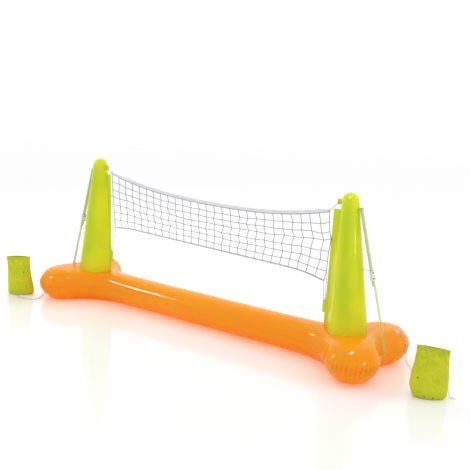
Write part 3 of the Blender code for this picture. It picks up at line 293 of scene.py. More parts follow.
def noiseAt(tree, vector, scale, detail=3.0, roughness=0.5, distortion=0.0):
    return nodeOut(tree, "ShaderNodeTexNoise", {"Vector": vector, "Scale": scale, "Detail": detail,
                                                "Roughness": roughness, "Distortion": distortion})


def bumpFrom(tree, height, distance, strength=1.0, **below):
    return nodeOut(tree, "ShaderNodeBump", {"Height": height, "Distance": distance, "Strength": strength, **below})


def startFinish(name):
    finish = bpy.data.materials.new(name)
    finish.use_nodes = True
    tree = finish.node_tree
    return finish, tree, tree.nodes["Principled BSDF"], addNode(tree, "ShaderNodeTexCoord").outputs


# Finishes. A film's creases are scale and depth, its glow weight, radius and scale. Its shade-and-bounce colour is
# painted shade and painted orange light from the base, laid on towards its low band and on faces turned down
filmSets = {
    "orangeFilm": {"colour": (0.95, 0.352, 0.006), "shade": (0.93, 0.325, 0.005), "shadeAndBounceColour": (0.93, 0.220, 0.004),
                   "shadeAndBounceBand": (0.0, 0.050), "shadeAndBounceShare": 0.7, "undersideShadeShare": 0.15, "cloudScale": 3.5,
                   "creases": (9.0, 0.0008), "roughness": (0.10, 0.15), "glow": (0.6, (1.0, 0.3, 0.03), 0.12),
                   "through": ((1.0, 0.52, 0.03), 0.95), "shadeAndHem": (0.84, 0.15, 0.004)},
    "limeFilm": {"colour": (0.76, 0.82, 0.018), "shade": (0.66, 0.75, 0.018), "shadeAndBounceColour": (0.70, 0.62, 0.016),
                 "shadeAndBounceBand": (0.16, 0.30), "shadeAndBounceShare": 0.5, "cloudScale": 5.0, "creases": (12.0, 0.0010),
                 "roughness": (0.12, 0.18), "glow": (0.5, (1.0, 0.9, 0.05), 0.06),
                 "through": ((0.95, 0.97, 0.45), 0.7), "shadeAndHem": (0.48, 0.64, 0.022)},
    "flatLimeFilm": {"colour": (0.62, 0.72, 0.018), "shade": (0.56, 0.67, 0.018), "shadeAndBounceColour": (0.80, 0.66, 0.016),
                     "shadeAndBounceBand": (0.16, 0.26), "shadeAndBounceShare": 0.4, "cloudScale": 8.0, "creases": (16.0, 0.0008),
                     "roughness": (0.2, 0.28)},
    "paleLimeFilm": {"colour": (0.60, 0.68, 0.19), "shade": (0.54, 0.62, 0.16), "shadeAndBounceColour": (0.66, 0.56, 0.06),
                     "shadeAndBounceBand": (0.12, 0.24), "shadeAndBounceShare": 0.6, "cloudScale": 30.0, "creases": (90.0, 0.0004),
                     "roughness": (0.28, 0.4), "alpha": 0.5},
    "bagFilm": {"colour": (0.70, 0.72, 0.022), "shade": (0.60, 0.66, 0.022), "shadeAndBounceColour": (0.46, 0.50, 0.02),
                "shadeAndBounceBand": (0.0, 0.05), "shadeAndBounceShare": 0.5, "undersideShadeShare": 0.2, "cloudScale": 16.0,
                "creases": (26.0, 0.0036), "roughness": (0.32, 0.46), "gloss": 0.15,
                "glow": (0.2, (1.0, 0.9, 0.1), 0.01), "shadeAndHem": (0.36, 0.42, 0.016)}}
cordSets = {"netCord": ((0.43, 0.43, 0.46), (0.32, 0.32, 0.35)), "netRope": ((0.58, 0.58, 0.62), (0.44, 0.44, 0.48)),
            "anchorCord": ((0.66, 0.65, 0.63), (0.48, 0.47, 0.45))}
tapeSet = {"colour": (0.92, 0.92, 0.95), "shade": (0.80, 0.80, 0.86), "ribScale": 300.0, "pickScale": 420.0}
# ventHoleShade is painted shade: a dark finish standing for the shade inside the bag's vent holes
mouldedSets = {"ventHoleShade": {"colour": (0.16, 0.13, 0.012), "shade": (0.10, 0.08, 0.01), "roughness": (0.5, 0.6)},
               "whitePlastic": {"colour": (0.80, 0.81, 0.83), "shade": (0.74, 0.75, 0.78), "roughness": (0.25, 0.4)},
               "milkyVinyl": {"colour": (0.86, 0.78, 0.74), "shade": (0.80, 0.70, 0.66), "roughness": (0.2, 0.35),
                              "glow": 0.4, "alpha": 0.55}}


def filmFinish(name, spec):
    finish, tree, shader, place = startFinish(name)
    place = place["Object"]
    colour = mixColour(tree, spread(tree, noiseAt(tree, place, spec["cloudScale"]), 0.35, 0.65),
                       spec["colour"], spec["shade"])
    # painted shade and painted orange light from the base: colour goes to the shade-and-bounce colour towards the
    # bottom of the low band
    height = addNode(tree, "ShaderNodeSeparateXYZ", {"Vector": place}).outputs["Z"]
    colour = mixColour(tree, spread(tree, height, *spec["shadeAndBounceBand"], spec["shadeAndBounceShare"], 0.0), colour, spec["shadeAndBounceColour"])
    # painted shade: faces turned downward take more of that colour
    normal = addNode(tree, "ShaderNodeNewGeometry").outputs["Normal"]
    facing = addNode(tree, "ShaderNodeSeparateXYZ", {"Vector": normal}).outputs["Z"]
    colour = mixColour(tree, spread(tree, facing, 0.25, -0.55, 0.0, spec.get("undersideShadeShare", 0.1)), colour,
                       spec["shadeAndBounceColour"])
    # painted shade: the shade-and-hem weights darken the film in pleat folds, bag creases and on the towers' fronts; on
    # the bag they also darken its hem band
    if "shadeAndHem" in spec:
        shadeAndHemWeights = addNode(tree, "ShaderNodeAttribute", attribute_name="shadeAndHem").outputs["Fac"]
        colour = mixColour(tree, shadeAndHemWeights, colour, spec["shadeAndHem"])
    creaseScale, creaseDepth = spec["creases"]
    grain = bumpFrom(tree, noiseAt(tree, place, 900.0, 2.0), 0.00006)
    creases = bumpFrom(tree, noiseAt(tree, place, creaseScale, 2.0, 0.55, 0.6), creaseDepth, Normal=grain)
    smudge = spread(tree, noiseAt(tree, place, 22.0, 4.0, 0.6), 0.3, 0.7, *spec["roughness"])
    glow, glowRadius, glowScale = spec.get("glow", (0.0, (1.0, 0.9, 0.05), 0.01))
    plugged(tree, shader, {
        "Base Color": colour, "Roughness": smudge, "Normal": creases, "IOR": 1.45, "Alpha": spec.get("alpha", 1.0),
        "Specular IOR Level": spec.get("gloss", 0.2), "Subsurface Weight": glow, "Subsurface Radius": glowRadius,
        "Subsurface Scale": glowScale})
    if "through" in spec:  # light that comes through both sheets tints the floor
        tint, share = spec["through"]
        rays = addNode(tree, "ShaderNodeLightPath").outputs
        passing = maths(tree, "MAXIMUM", rays["Is Shadow Ray"], rays["Is Diffuse Ray"])
        clear = nodeOut(tree, "ShaderNodeBsdfTransparent", {"Color": tint})
        blend = nodeOut(tree, "ShaderNodeMixShader", {0: maths(tree, "MULTIPLY", passing, share),
                                                      1: shader.outputs[0], 2: clear})
        plugged(tree, tree.nodes["Material Output"], {"Surface": blend})
    return finish


def cordFinish(name, colour, shade):
    finish, tree, shader, place = startFinish(name)
    fibres = noiseAt(tree, place["Object"], 1400.0, 2.0)
    dirt = spread(tree, noiseAt(tree, place["Object"], 35.0), 0.45, 0.8, 0.0, 0.35)
    colour = mixColour(tree, dirt, mixColour(tree, spread(tree, fibres, 0.35, 0.7), colour, shade), shade)
    plugged(tree, shader, {"Base Color": colour, "Normal": bumpFrom(tree, fibres, 0.0003, 0.7), "Roughness": 0.72,
                           "Sheen Weight": 0.25, "Sheen Roughness": 0.5})
    return finish


def tapeFinish(name, spec):
    finish, tree, shader, place = startFinish(name)
    waves = [addNode(tree, "ShaderNodeTexWave", {"Vector": place["UV"], "Scale": scale, "Distortion": distortion,
                                                 "Detail": 1.0}, wave_type="BANDS", bands_direction=axis).outputs[1]
             for scale, distortion, axis in ((spec["ribScale"], 0.4, "X"), (spec["pickScale"], 0.3, "Y"))]
    weave = maths(tree, "MULTIPLY", *waves)
    dirt = spread(tree, noiseAt(tree, place["Object"], 20.0, 4.0), 0.45, 0.75, 0.0, 0.3)
    colour = mixColour(tree, spread(tree, weave, 0.0, 0.8), spec["shade"], spec["colour"])
    plugged(tree, shader, {"Base Color": mixColour(tree, dirt, colour, spec["shade"]), "Roughness": 0.66,
                           "Normal": bumpFrom(tree, weave, 0.0004, 0.8), "Sheen Weight": 0.2})
    return finish


def mouldedFinish(name, spec):
    finish, tree, shader, place = startFinish(name)
    cloud = noiseAt(tree, place["Object"], 60.0)
    grain = noiseAt(tree, place["Object"], 700.0, 2.0)
    plugged(tree, shader, {
        "Base Color": mixColour(tree, spread(tree, cloud, 0.35, 0.7), spec["colour"], spec["shade"]),
        "Roughness": spread(tree, cloud, 0.3, 0.7, *spec["roughness"]), "Normal": bumpFrom(tree, grain, 0.00008),
        "Subsurface Weight": spec.get("glow", 0.1), "Subsurface Scale": 0.004, "Alpha": spec.get("alpha", 1.0)})
    return finish


baseVinyl, towerVinyl, finVinyl, strapVinyl, bagVinyl = (filmFinish(*item) for item in filmSets.items())
netCordFinish, ropeFinish, anchorCordFinish = (cordFinish(name, *pair) for name, pair in cordSets.items())
tapeWeave = tapeFinish("netTape", tapeSet)
ventHoleShade, whitePlastic, clearVinyl = (mouldedFinish(*item) for item in mouldedSets.items())
print("finishes made")


# Trees for cords, the net and stitches
ropeSet = {"strands": 3.0, "step": 0.0013}


def geoOut(tree, kind, inputs=None, **settings):
    return nodeOut(tree, "GeometryNode" + kind, inputs, **settings)


def startTree(name, **sockets):
    tree = bpy.data.node_groups.new(name, "GeometryNodeTree")
    tree.interface.new_socket("Geometry", in_out="INPUT", socket_type="NodeSocketGeometry")
    for socket, value in {**sockets, "Finish": None}.items():
        kind = {float: "Float", int: "Int", tuple: "Vector"}.get(type(value), "Material")
        made = tree.interface.new_socket(socket, in_out="INPUT", socket_type="NodeSocket" + kind)
        if value is not None:
            made.default_value = value
    tree.interface.new_socket("Geometry", in_out="OUTPUT", socket_type="NodeSocketGeometry")
    return tree, tree.nodes.new("NodeGroupInput").outputs


def endTree(tree, ports, geometry):
    smooth = geoOut(tree, "SetShadeSmooth", {"Geometry": geometry})
    real = geoOut(tree, "RealizeInstances", {"Geometry": smooth})
    finished = geoOut(tree, "SetMaterial", {"Geometry": real, "Material": ports["Finish"]})
    tree.links.new(finished, tree.nodes.new("NodeGroupOutput").inputs[0])
    return tree


def scaledBy(tree, vector, scale):
    return nodeOut(tree, "ShaderNodeVectorMath", {0: vector, "Scale": scale}, operation="SCALE")


def ropeTree():
    tree, ports = startTree("laidRope", Radius=0.002, Groove=0.14, Twist=90.0, Sides=14)
    line = geoOut(tree, "MeshToCurve", {"Mesh": ports["Geometry"]})
    line = geoOut(tree, "ResampleCurve", {"Curve": line, "Length": ropeSet["step"]}, mode="LENGTH")
    along = tree.nodes.new("GeometryNodeSplineParameter").outputs["Length"]
    line = geoOut(tree, "SetCurveTilt", {"Curve": line, "Tilt": maths(tree, "MULTIPLY", along, ports["Twist"])})
    ring = geoOut(tree, "CurvePrimitiveCircle", {"Resolution": ports["Sides"], "Radius": 1.0})
    spot = geoOut(tree, "InputPosition")
    parts = addNode(tree, "ShaderNodeSeparateXYZ", {"Vector": spot}).outputs
    lobe = maths(tree, "MULTIPLY", maths(tree, "ARCTAN2", parts["Y"], parts["X"]), ropeSet["strands"])
    size = maths(tree, "MULTIPLY_ADD", maths(tree, "COSINE", lobe), ports["Groove"],
                 maths(tree, "SUBTRACT", 1.0, ports["Groove"]))
    size = maths(tree, "MULTIPLY", size, ports["Radius"])
    ring = geoOut(tree, "SetPosition", {"Geometry": ring, "Position": scaledBy(tree, spot, size)})
    tube = geoOut(tree, "CurveToMesh", {"Curve": line, "Profile Curve": ring, "Fill Caps": True})
    return endTree(tree, ports, tube)


def unevenly(tree, ports, size):  # size times a random factor round 1
    low, high = maths(tree, "SUBTRACT", 1.0, ports["Wander"]), maths(tree, "ADD", 1.0, ports["Wander"])
    factor = addNode(tree, "FunctionNodeRandomValue", {2: low, 3: high, "Seed": ports["Seed"]}, data_type="FLOAT")
    return scaledBy(tree, size, factor.outputs[1])


def stitchTree():
    tree, ports = startTree("stitchRow", Spacing=0.006, Size=(0.002, 0.0003, 0.0003), Wander=0.12, Seed=3)
    line = geoOut(tree, "MeshToCurve", {"Mesh": ports["Geometry"]})
    spots = addNode(tree, "GeometryNodeCurveToPoints", {"Curve": line, "Length": ports["Spacing"]}, mode="LENGTH")
    aim = nodeOut(tree, "FunctionNodeAlignRotationToVector", {"Vector": spots.outputs["Tangent"]}, axis="X")
    bead = geoOut(tree, "MeshUVSphere", {"Segments": 6, "Rings": 4, "Radius": 1.0})
    return endTree(tree, ports, geoOut(tree, "InstanceOnPoints", {
        "Points": spots.outputs["Points"], "Instance": bead, "Rotation": aim,
        "Scale": unevenly(tree, ports, ports["Size"])}))


def netTree():
    tree, ports = startTree("knottedNet", Radius=0.0016, Sides=6, Knot=(0.0032, 0.0026, 0.0032), Wander=0.25,
                            Seed=5)
    line = geoOut(tree, "MeshToCurve", {"Mesh": ports["Geometry"]})
    ring = geoOut(tree, "CurvePrimitiveCircle", {"Resolution": ports["Sides"], "Radius": ports["Radius"]})
    tube = geoOut(tree, "CurveToMesh", {"Curve": line, "Profile Curve": ring, "Fill Caps": True})
    isKnot = geoOut(tree, "InputNamedAttribute", {"Name": "knot"}, data_type="BOOLEAN")
    spots = geoOut(tree, "MeshToPoints", {"Mesh": ports["Geometry"], "Selection": isKnot})
    roll = nodeOut(tree, "FunctionNodeRandomValue", {0: (-0.5, -0.5, -0.5), 1: (0.5, 0.5, 0.5),
                                                     "Seed": ports["Seed"]}, data_type="FLOAT_VECTOR")
    lump = geoOut(tree, "MeshIcoSphere", {"Radius": 1.0, "Subdivisions": 2})
    lumps = geoOut(tree, "InstanceOnPoints", {"Points": spots, "Instance": lump, "Rotation": roll,
                                              "Scale": unevenly(tree, ports, ports["Knot"])})
    both = tree.nodes.new("GeometryNodeJoinGeometry")
    for part in (tube, lumps):
        tree.links.new(part, both.inputs[0])
    return endTree(tree, ports, both.outputs[0])


def applyTree(name, tree, points, values, edges=None, knots=None):
    mesh = bpy.data.meshes.new(name)
    mesh.from_pydata([tuple(point) for point in points], edges or [(k, k + 1) for k in range(len(points) - 1)], [])
    if knots:
        mesh.attributes.new("knot", "BOOLEAN", "POINT").data.foreach_set("value", knots)
    source = bpy.data.objects.new(name + "Line", mesh)
    step = source.modifiers.new("tree", "NODES")
    step.node_group = tree
    for item in tree.interface.items_tree:
        if item.in_out == "INPUT" and item.name in values:
            step[item.identifier] = values[item.name]
    result = baked(source)
    result.name = name
    return newObject(name, result)


laidRope, stitchRow, knottedNet = ropeTree(), stitchTree(), netTree()


def ropePiece(name, route, diameter, finish, groove=0.14, lay=0.011, sides=14):
    return applyTree(name, laidRope, route, {"Radius": diameter / 2, "Groove": groove, "Twist": math.tau / lay,
                                             "Sides": sides, "Finish": finish})


def knotPiece(name, centre, axis, size, diameter, finish, sides):
    face = Vector(axis).to_track_quat("Z", "Y").to_matrix()
    route = []
    for k in range(45):
        t = math.tau * k / 44
        local = Vector(((math.sin(t) + 2 * math.sin(2 * t)) / 3, (math.cos(t) - 2 * math.cos(2 * t)) / 3,
                        -math.sin(3 * t) * 0.55))
        route.append(centre + face @ (local * size))
    return ropePiece(name, route, diameter, finish, sides=sides)


# Base
baseSet = {"length": 2.39, "width": 0.64, "seamHeight": 0.100, "tubeRadius": 0.095, "lobeRadius": 0.1375,
           "floorPress": 0.003, "neckFillet": 0.27, "valleyFillet": 0.15, "forkSetback": 0.118,
           "straightSteps": 26, "forkSteps": 12, "lobeSteps": 150, "levels": 30, "solveLevels": 12,
           "underSteps": 14, "pleatSpacing": 0.025, "pleatDepth": 0.0036, "pleatReach": 0.34, "pleatUnder": 1.0,
           "wanderNoise": (9, 3.1), "wanderTurn": 2.2, "foldSharpness": 3, "leastDeep": 0.55, "deepSpan": 0.9,
           "deepNoise": (23, 7.7),  # noises are scale and seed
           "weldOut": 0.0006, "weldIn": 0.0002, "weldHalf": 0.0014, "easyRise": 0.080, "topRise": 0.103,
           "tubeFullness": 0.875, "underBulge": 0.5, "dipX": 0.935, "dipRadius": 0.1026, "dipWidth": 0.042,
           "dipDepth": 0.026, "dipLean": 0.008,
           "soften": (  # x from, x to, y within, z above, passes
               (0.64, 1.08, 0.29, 0.117, 10), (0.68, 1.05, 0.25, 0.128, 44), (0.62, 1.09, 0.30, 0.114, 18))}
seamHeight, tubeRadius, lobeRadius = (baseSet[key] for key in ("seamHeight", "tubeRadius", "lobeRadius"))
neckFillet, valleyFillet = baseSet["neckFillet"], baseSet["valleyFillet"]
lobeX = baseSet["length"] / 2 - lobeRadius
lobeY = baseSet["width"] / 2 - lobeRadius
forkX = lobeX - baseSet["forkSetback"]
neckY = tubeRadius + neckFillet
neckX = lobeX - math.sqrt((neckFillet + lobeRadius) ** 2 - (neckY - lobeY) ** 2)
valleyX = lobeX + math.sqrt((lobeRadius + valleyFillet) ** 2 - lobeY ** 2)
valleyRim = valleyX - valleyFillet


def quarterSections():  # points of the seam and the spine, how far into the lobe, and fullness
    lobe, fork, neck = Vector((lobeX, lobeY)), Vector((forkX, 0.0)), Vector((neckX, neckY))
    straightSteps, forkSteps, lobeSteps = (baseSet[key] for key in ("straightSteps", "forkSteps", "lobeSteps"))
    tubeFull = baseSet["tubeFullness"]

    def arc(centre, radius, turn):
        return centre + radius * Vector((math.cos(turn), math.sin(turn)))

    rows = []
    for step in range(straightSteps):
        x = neck.x * step / straightSteps
        rows.append((Vector((x, tubeRadius)), Vector((x, 0.0)), 0.0, tubeFull))
    neckEnd = math.atan2(lobe.y - neck.y, lobe.x - neck.x)
    for step in range(2 * forkSteps):
        turn = -math.pi / 2 + (neckEnd + math.pi / 2) * step / (2 * forkSteps)
        if step < forkSteps:
            spine = Vector((neck.x, 0.0)).lerp(fork, step / forkSteps)
        else:
            spine = fork.lerp(lobe, (step - forkSteps) / forkSteps)
        rows.append((arc(neck, neckFillet, turn), spine, 0.0, tubeFull + (1 - tubeFull) * min(1.0, step / forkSteps)))
    first, last = neckEnd + math.pi, math.atan2(-lobeY, valleyX - lobeX)
    for step in range(lobeSteps + 1):
        share = step / lobeSteps
        rows.append((arc(lobe, lobeRadius, first + (last - first) * share), lobe,
                     min(1.0, 5 * share, 5 * (1 - share)), 1.0))
    start = last + math.pi
    for step in range(1, forkSteps + 1):
        turn = start + (math.pi - start) * step / forkSteps
        rows.append((arc(Vector((valleyX, 0.0)), valleyFillet, turn), lobe.lerp(fork, step / forkSteps), 0.0, 1.0))
    return rows


def inflate(rows, levels):  # shape of a blown-up sheet held at the seam, solved on triangles
    reach = [math.cos(math.pi / 2 * level / levels) for level in range(levels + 1)]
    index, spots, ids = {}, [], []
    for seam, spine, *_ in rows:
        for share in reach:
            spot = spine.lerp(seam, share)
            key = (round(spot.x, 6), round(spot.y, 6))
            if key not in index:
                index[key] = len(spots)
                spots.append(key)
            ids.append(index[key])
    stiff, load = np.zeros((len(spots), len(spots))), np.zeros(len(spots))
    size = levels + 1
    for row in range(len(rows) - 1):
        for level in range(levels):
            a, b = row * size + level, (row + 1) * size + level
            for trio in ((ids[a], ids[b], ids[b + 1]), (ids[a], ids[b + 1], ids[a + 1])):
                (x0, y0), (x1, y1), (x2, y2) = (spots[k] for k in trio)
                twice = (x1 - x0) * (y2 - y0) - (x2 - x0) * (y1 - y0)
                if len(set(trio)) < 3 or abs(twice) < 1e-12:
                    continue
                slopes = np.array([[y1 - y2, x2 - x1], [y2 - y0, x0 - x2], [y0 - y1, x1 - x0]]) / twice
                stiff[np.ix_(trio, trio)] += slopes @ slopes.T * abs(twice) / 2
                load[list(trio)] += abs(twice) / 6
    fixed = sorted({ids[row * size] for row in range(len(rows))})
    free = np.setdiff1d(np.arange(len(spots)), fixed)
    field = np.zeros(len(spots))
    field[free] = np.linalg.solve(stiff[np.ix_(free, free)], load[free])
    profiles = []
    for row in range(len(rows)):
        ratio = [field[ids[row * size + level]] / (1 - reach[level] ** 2) for level in range(1, size)]
        profiles.append((reach[:0:-1], ratio[::-1]))
    return profiles


def freeBulge(profile, share):
    return math.sqrt(max(0.0, 2 * (1 - share ** 2) * float(np.interp(share, *profile))))


def crownBulge(profile, share):
    free = freeBulge(profile, share)
    easy, limit = baseSet["easyRise"], baseSet["topRise"]
    return free if free < easy else easy + (limit - easy) * (1 - math.exp((easy - free) / (limit - easy)))


def weldDip(x, y):
    across = abs(x) - baseSet["dipX"]
    reach = math.hypot(across, y)
    depth = baseSet["dipDepth"] - baseSet["dipLean"] * across / max(reach, 1e-6)
    return depth * math.exp(-((reach - baseSet["dipRadius"]) / baseSet["dipWidth"]) ** 2)


def underDepth(profile, share):  # how far under the seam the lower sheet would hang over no floor
    oval = math.sqrt(1 - share ** 2)
    free = freeBulge(profile, share) / tubeRadius
    return (seamHeight + baseSet["floorPress"]) * (oval + baseSet["underBulge"] * (free - oval))


def softened(work):
    bmesh.ops.remove_doubles(work, verts=work.verts, dist=2e-5)
    bmesh.ops.recalc_face_normals(work, faces=work.faces)
    for near, far, wide, level, passes in baseSet["soften"]:
        folded = [v for v in work.verts if near < abs(v.co.x) < far and abs(v.co.y) < wide and v.co.z > level]
        for again in range(passes):
            bmesh.ops.smooth_vert(work, verts=folded, factor=0.5, use_axis_x=False, use_axis_y=False, use_axis_z=True)


def seamNoise(seam, scale, seed):
    return noise.noise(Vector((seam.x * scale, seam.y * scale, seed)))


def mirroredRows(rows, x, y):
    return [(Vector((x * a.x, y * a.y)), Vector((x * b.x, y * b.y)), *rest) for a, b, *rest in reversed(rows)]


def makeBase():
    quarter = quarterSections()
    quarter = [(*row, shape) for row, shape in zip(quarter, inflate(quarter, baseSet["solveLevels"]))]
    half = quarter + mirroredRows(quarter[:-1], 1, -1)
    rows = half + mirroredRows(half[1:-1], -1, 1)
    underSteps, levels, weldIn = baseSet["underSteps"], baseSet["levels"], baseSet["weldIn"]
    points, shadeAndHemWeights, along = [], [], 0.0
    for place, (seam, spine, lobeShare, full, shape) in enumerate(rows):
        along += (seam - rows[place - 1][0]).length if place else 0.0
        out = (seam - spine).normalized().to_3d()
        wander = baseSet["wanderTurn"] * seamNoise(seam, *baseSet["wanderNoise"])
        wave = math.cos(math.tau * along / baseSet["pleatSpacing"] + wander)
        beat = 1 - 2 * (0.5 - 0.5 * wave) ** baseSet["foldSharpness"]  # broad swells with narrow folds between
        deep = baseSet["leastDeep"] + baseSet["deepSpan"] * abs(seamNoise(seam, *baseSet["deepNoise"]))
        swell = baseSet["pleatDepth"] * deep * beat * lobeShare
        column = [Vector((spine.x, spine.y, 0.0))]
        touch = next(math.acos(k / 400) for k in range(400) if underDepth(shape, k / 400) < seamHeight)
        for level in range(underSteps, 0, -1):
            angle = touch * level / underSteps
            flat = spine.lerp(seam, math.cos(angle))
            height = max(0.0, seamHeight - underDepth(shape, math.cos(angle)))
            push = swell * max(0.0, 1 - angle / baseSet["pleatUnder"])
            column.append(Vector((flat.x, flat.y, height)) + out * min(0.0, push) * (height > 0.01))
        edge = seam.to_3d() + upward * seamHeight
        column += [edge - upward * baseSet["weldHalf"] - out * weldIn, edge + out * baseSet["weldOut"],
                   edge + upward * baseSet["weldHalf"] - out * weldIn]
        for level in range(1, levels + 1):
            angle = math.pi / 2 * (level / levels) ** 1.15
            share = math.cos(angle)
            flat = spine.lerp(seam, share)
            rise = full * crownBulge(shape, share) - weldDip(flat.x, flat.y)
            push = swell * max(0.0, 1 - angle / baseSet["pleatReach"]) ** 1.3
            normal = (out * share + upward * math.sin(angle)).normalized()
            column.append(Vector((flat.x, flat.y, seamHeight + rise)) + normal * push)
        # painted shade: the pleat folds and a band along the seam on the lobes take the darker, redder shade-and-hem
        # colour
        for level in range(len(column)):
            past = level - underSteps - 2
            near = max(0.0, 1 - (past / (0.2 * levels) if past > 0 else past / -9))
            shadeAndHemWeights.append(lobeShare * near * (0.25 + 0.75 * max(0.0, -beat) ** 0.7 * min(1.0, 1.4 * deep - 0.3)))
        points += column
        size = len(column)
    faces = []
    for row in range(len(rows)):
        here, after = row * size, (row + 1) % len(rows) * size
        faces += [(here + level, after + level, after + level + 1, here + level + 1) for level in range(size - 1)]
    body = pieceFrom("baseBody", points, faces, baseVinyl, fixNormals=False)
    painted(body, shadeAndHemWeights)
    reworked(body.data, softened)
    shaded(body.data)
    return dress(body, "base_bladder")


baseBody = makeBase()
baseSkin = BVHTree.FromObject(baseBody, bpy.context.evaluated_depsgraph_get())
print("base made:", len(baseBody.data.polygons), "faces")


def lobeSurface(turn, climb, above=0.0):
    out = Vector((math.cos(turn) * math.cos(climb), math.sin(turn) * math.cos(climb), math.sin(climb)))
    hit, normal = baseSkin.ray_cast(Vector((lobeX, lobeY, seamHeight)) + out * 0.4, -out)[:2]
    return hit + normal * above, normal


# Towers
towerSet = {"footX": 0.935, "lean": 0.042, "footLevel": 0.178, "footRadius": 0.1026, "headRadius": 0.0453,
            "bottom": 0.13, "top": 0.914, "finWidth": 0.045, "finThickness": 0.0024, "finTop": 0.819,
            "finFoot": 0.15, "finCorner": 0.006, "finOverlap": 0.012, "holeRadius": 0.0028, "holeShift": 0.001,
            "steps": 96, "rings": 60, "domeRings": 16, "weldWidth": 0.004, "webReach": 0.030, "webFade": 0.28,
            "frontTurn": math.radians(-85), "frontWidth": 0.50, "frontShade": 0.7, "frontLow": (0.2, 0.12),
            "frontHigh": (0.9, 0.08), "dent": 0.0006, "dentNoise": (2.2, 7), "pucker": 0.0005, "puckers": 14,
            "bead": ((-0.002, 0.0045), (0.0002, 0.0042), (0.0006, 0.0018))}  # out from the wall, up
finHalf = towerSet["finThickness"] / 2
headLevel = towerSet["top"] - towerSet["headRadius"]


def towerShare(height):
    return (height - towerSet["footLevel"]) / (headLevel - towerSet["footLevel"])


def axisX(height):
    return towerSet["footX"] - towerSet["lean"] * towerShare(height)


def towerRadius(height):
    return towerSet["footRadius"] + (towerSet["headRadius"] - towerSet["footRadius"]) * towerShare(height)


def innerX(height):
    return axisX(height) - towerRadius(height)


def outerX(height):
    return axisX(height) + towerRadius(height)


def finEdgeX(height):
    return innerX(height) - towerSet["finWidth"]


def skinUnder(spot):
    return baseSkin.ray_cast(Vector((spot.x, spot.y, 0.5)), -upward)[0]


def weldRings(side):
    rings = []
    for turn in turns(towerSet["steps"]):
        out = Vector((side * math.cos(turn), math.sin(turn), 0))
        height = 0.19
        for again in range(6):
            height = skinUnder(Vector((side * axisX(height), 0, 0)) + out * towerRadius(height)).z
        wall = Vector((side * axisX(height), 0, height)) + out * towerRadius(height)
        outer = skinUnder(wall + out * towerSet["weldWidth"])
        rings.append([wall + out * reach + upward * lift for reach, lift in towerSet["bead"]]
                     + [outer.lerp(wall, 0.5) + upward * 0.0008, outer + upward * 0.0004, outer - upward * 0.002])
    return rings


def makeTower(side):
    angles, rings = turns(towerSet["steps"]), []
    bottom, head, (roundScale, upScale) = (towerSet[key] for key in ("bottom", "headRadius", "dentNoise"))
    for ring in range(towerSet["rings"] + 1):
        height = bottom + (headLevel - bottom) * ring / towerSet["rings"]
        wide, middle = towerRadius(height), axisX(height)
        reach = towerSet["webReach"] * clamped((towerSet["finTop"] - height) / towerSet["webFade"])
        touch = math.acos(wide / (wide + reach))  # where the web leaves the round wall
        loop = []
        for turn in angles:
            spot = Vector((math.cos(turn) * roundScale, math.sin(turn) * roundScale, height * upScale + side))
            radius = wide / math.cos(touch - min(touch, abs(turn - math.pi))) + towerSet["dent"] * noise.noise(spot)
            loop.append(Vector((side * (middle + radius * math.cos(turn)), radius * math.sin(turn), height)))
        rings.append(loop)
    for ring in range(1, towerSet["domeRings"] + 1):
        angle = math.pi / 2 * ring / (towerSet["domeRings"] + 0.3)
        radius, height = head * math.cos(angle), headLevel + head * math.sin(angle)
        pucker, count = towerSet["pucker"] * math.sin(angle) ** 4, towerSet["puckers"]
        rings.append([Vector((side * (axisX(headLevel) + (radius + pucker * math.cos(count * turn)) * math.cos(turn)),
                              radius * math.sin(turn), height)) for turn in angles])
    body = ringLoft("towerTube", rings, towerVinyl)
    # painted shade: a darker green band on the side turned to the front, which gets less light, fading out near the
    # foot and the top
    front = Vector((math.cos(towerSet["frontTurn"]), math.sin(towerSet["frontTurn"])))
    frontShadeShares = [math.exp(-(front.angle(Vector((side * math.cos(turn), math.sin(turn)))) / towerSet["frontWidth"]) ** 2)
              for turn in angles]
    (low, lowFade), (high, highFade) = towerSet["frontLow"], towerSet["frontHigh"]
    fade = [clamped((loop[0].z - low) / lowFade) * clamped((high - loop[0].z) / highFade) for loop in rings]
    painted(body, [towerSet["frontShade"] * level * share for level in fade for share in frontShadeShares])
    bead = ringLoft("weldBead", weldRings(side), towerVinyl, loop=True)
    dress(makeFin(side))
    word = sideWord(side)
    dress(joined("towerBody_" + word, [body, bead], 50), "tower_" + word)


# Net, in its own plane just before the fins
netSet = {"columns": 27, "rows": 7, "cord": 0.0034, "headLeft": 0.826, "headRight": 0.797, "footLeft": 0.500,
          "footRight": 0.456, "sag": 0.082, "sagPower": 2.5, "sideGap": 0.016, "leftDrift": 0.029,
          "pullLeft": 0.013, "pullRight": 0.028, "tieRow": 3, "tieLift": 0.004, "tieAlong": 0.012, "tieUp": 0.018,
          "tieCord": 0.0022, "tieHole": 0.009, "bandHeight": 0.019, "bandThickness": 0.0026, "rope": 0.004,
          "sideCord": 0.003, "bends": 4, "drawIn": 0.017, "drawReach": 4.0, "tieReach": (0.16, 0.10),
          "wanderAcross": 0.008, "wanderUp": 0.007, "dip": 0.006, "dipReach": 1.2, "slack": 0.0012,
          "slackWander": 0.001, "strand": 0.0047,
          "knot": (0.0033, 0.0026, 0.0033), "zig": 0.0045}
netPlane = -(finHalf + netSet["cord"] / 2 + 2 * seamGap)
tieShare = netSet["tieRow"] / netSet["rows"]


def netHead(share):
    sag = netSet["sag"] * (1 - abs(2 * share - 1) ** netSet["sagPower"])
    return netSet["headLeft"] + (netSet["headRight"] - netSet["headLeft"]) * share - sag


def netFoot(share):
    pull = netSet["pullLeft"] * max(0.0, 1 - 12 * share) + netSet["pullRight"] * max(0.0, 8 * share - 7) ** 1.5
    return netSet["footLeft"] + (netSet["footRight"] - netSet["footLeft"]) * share - pull


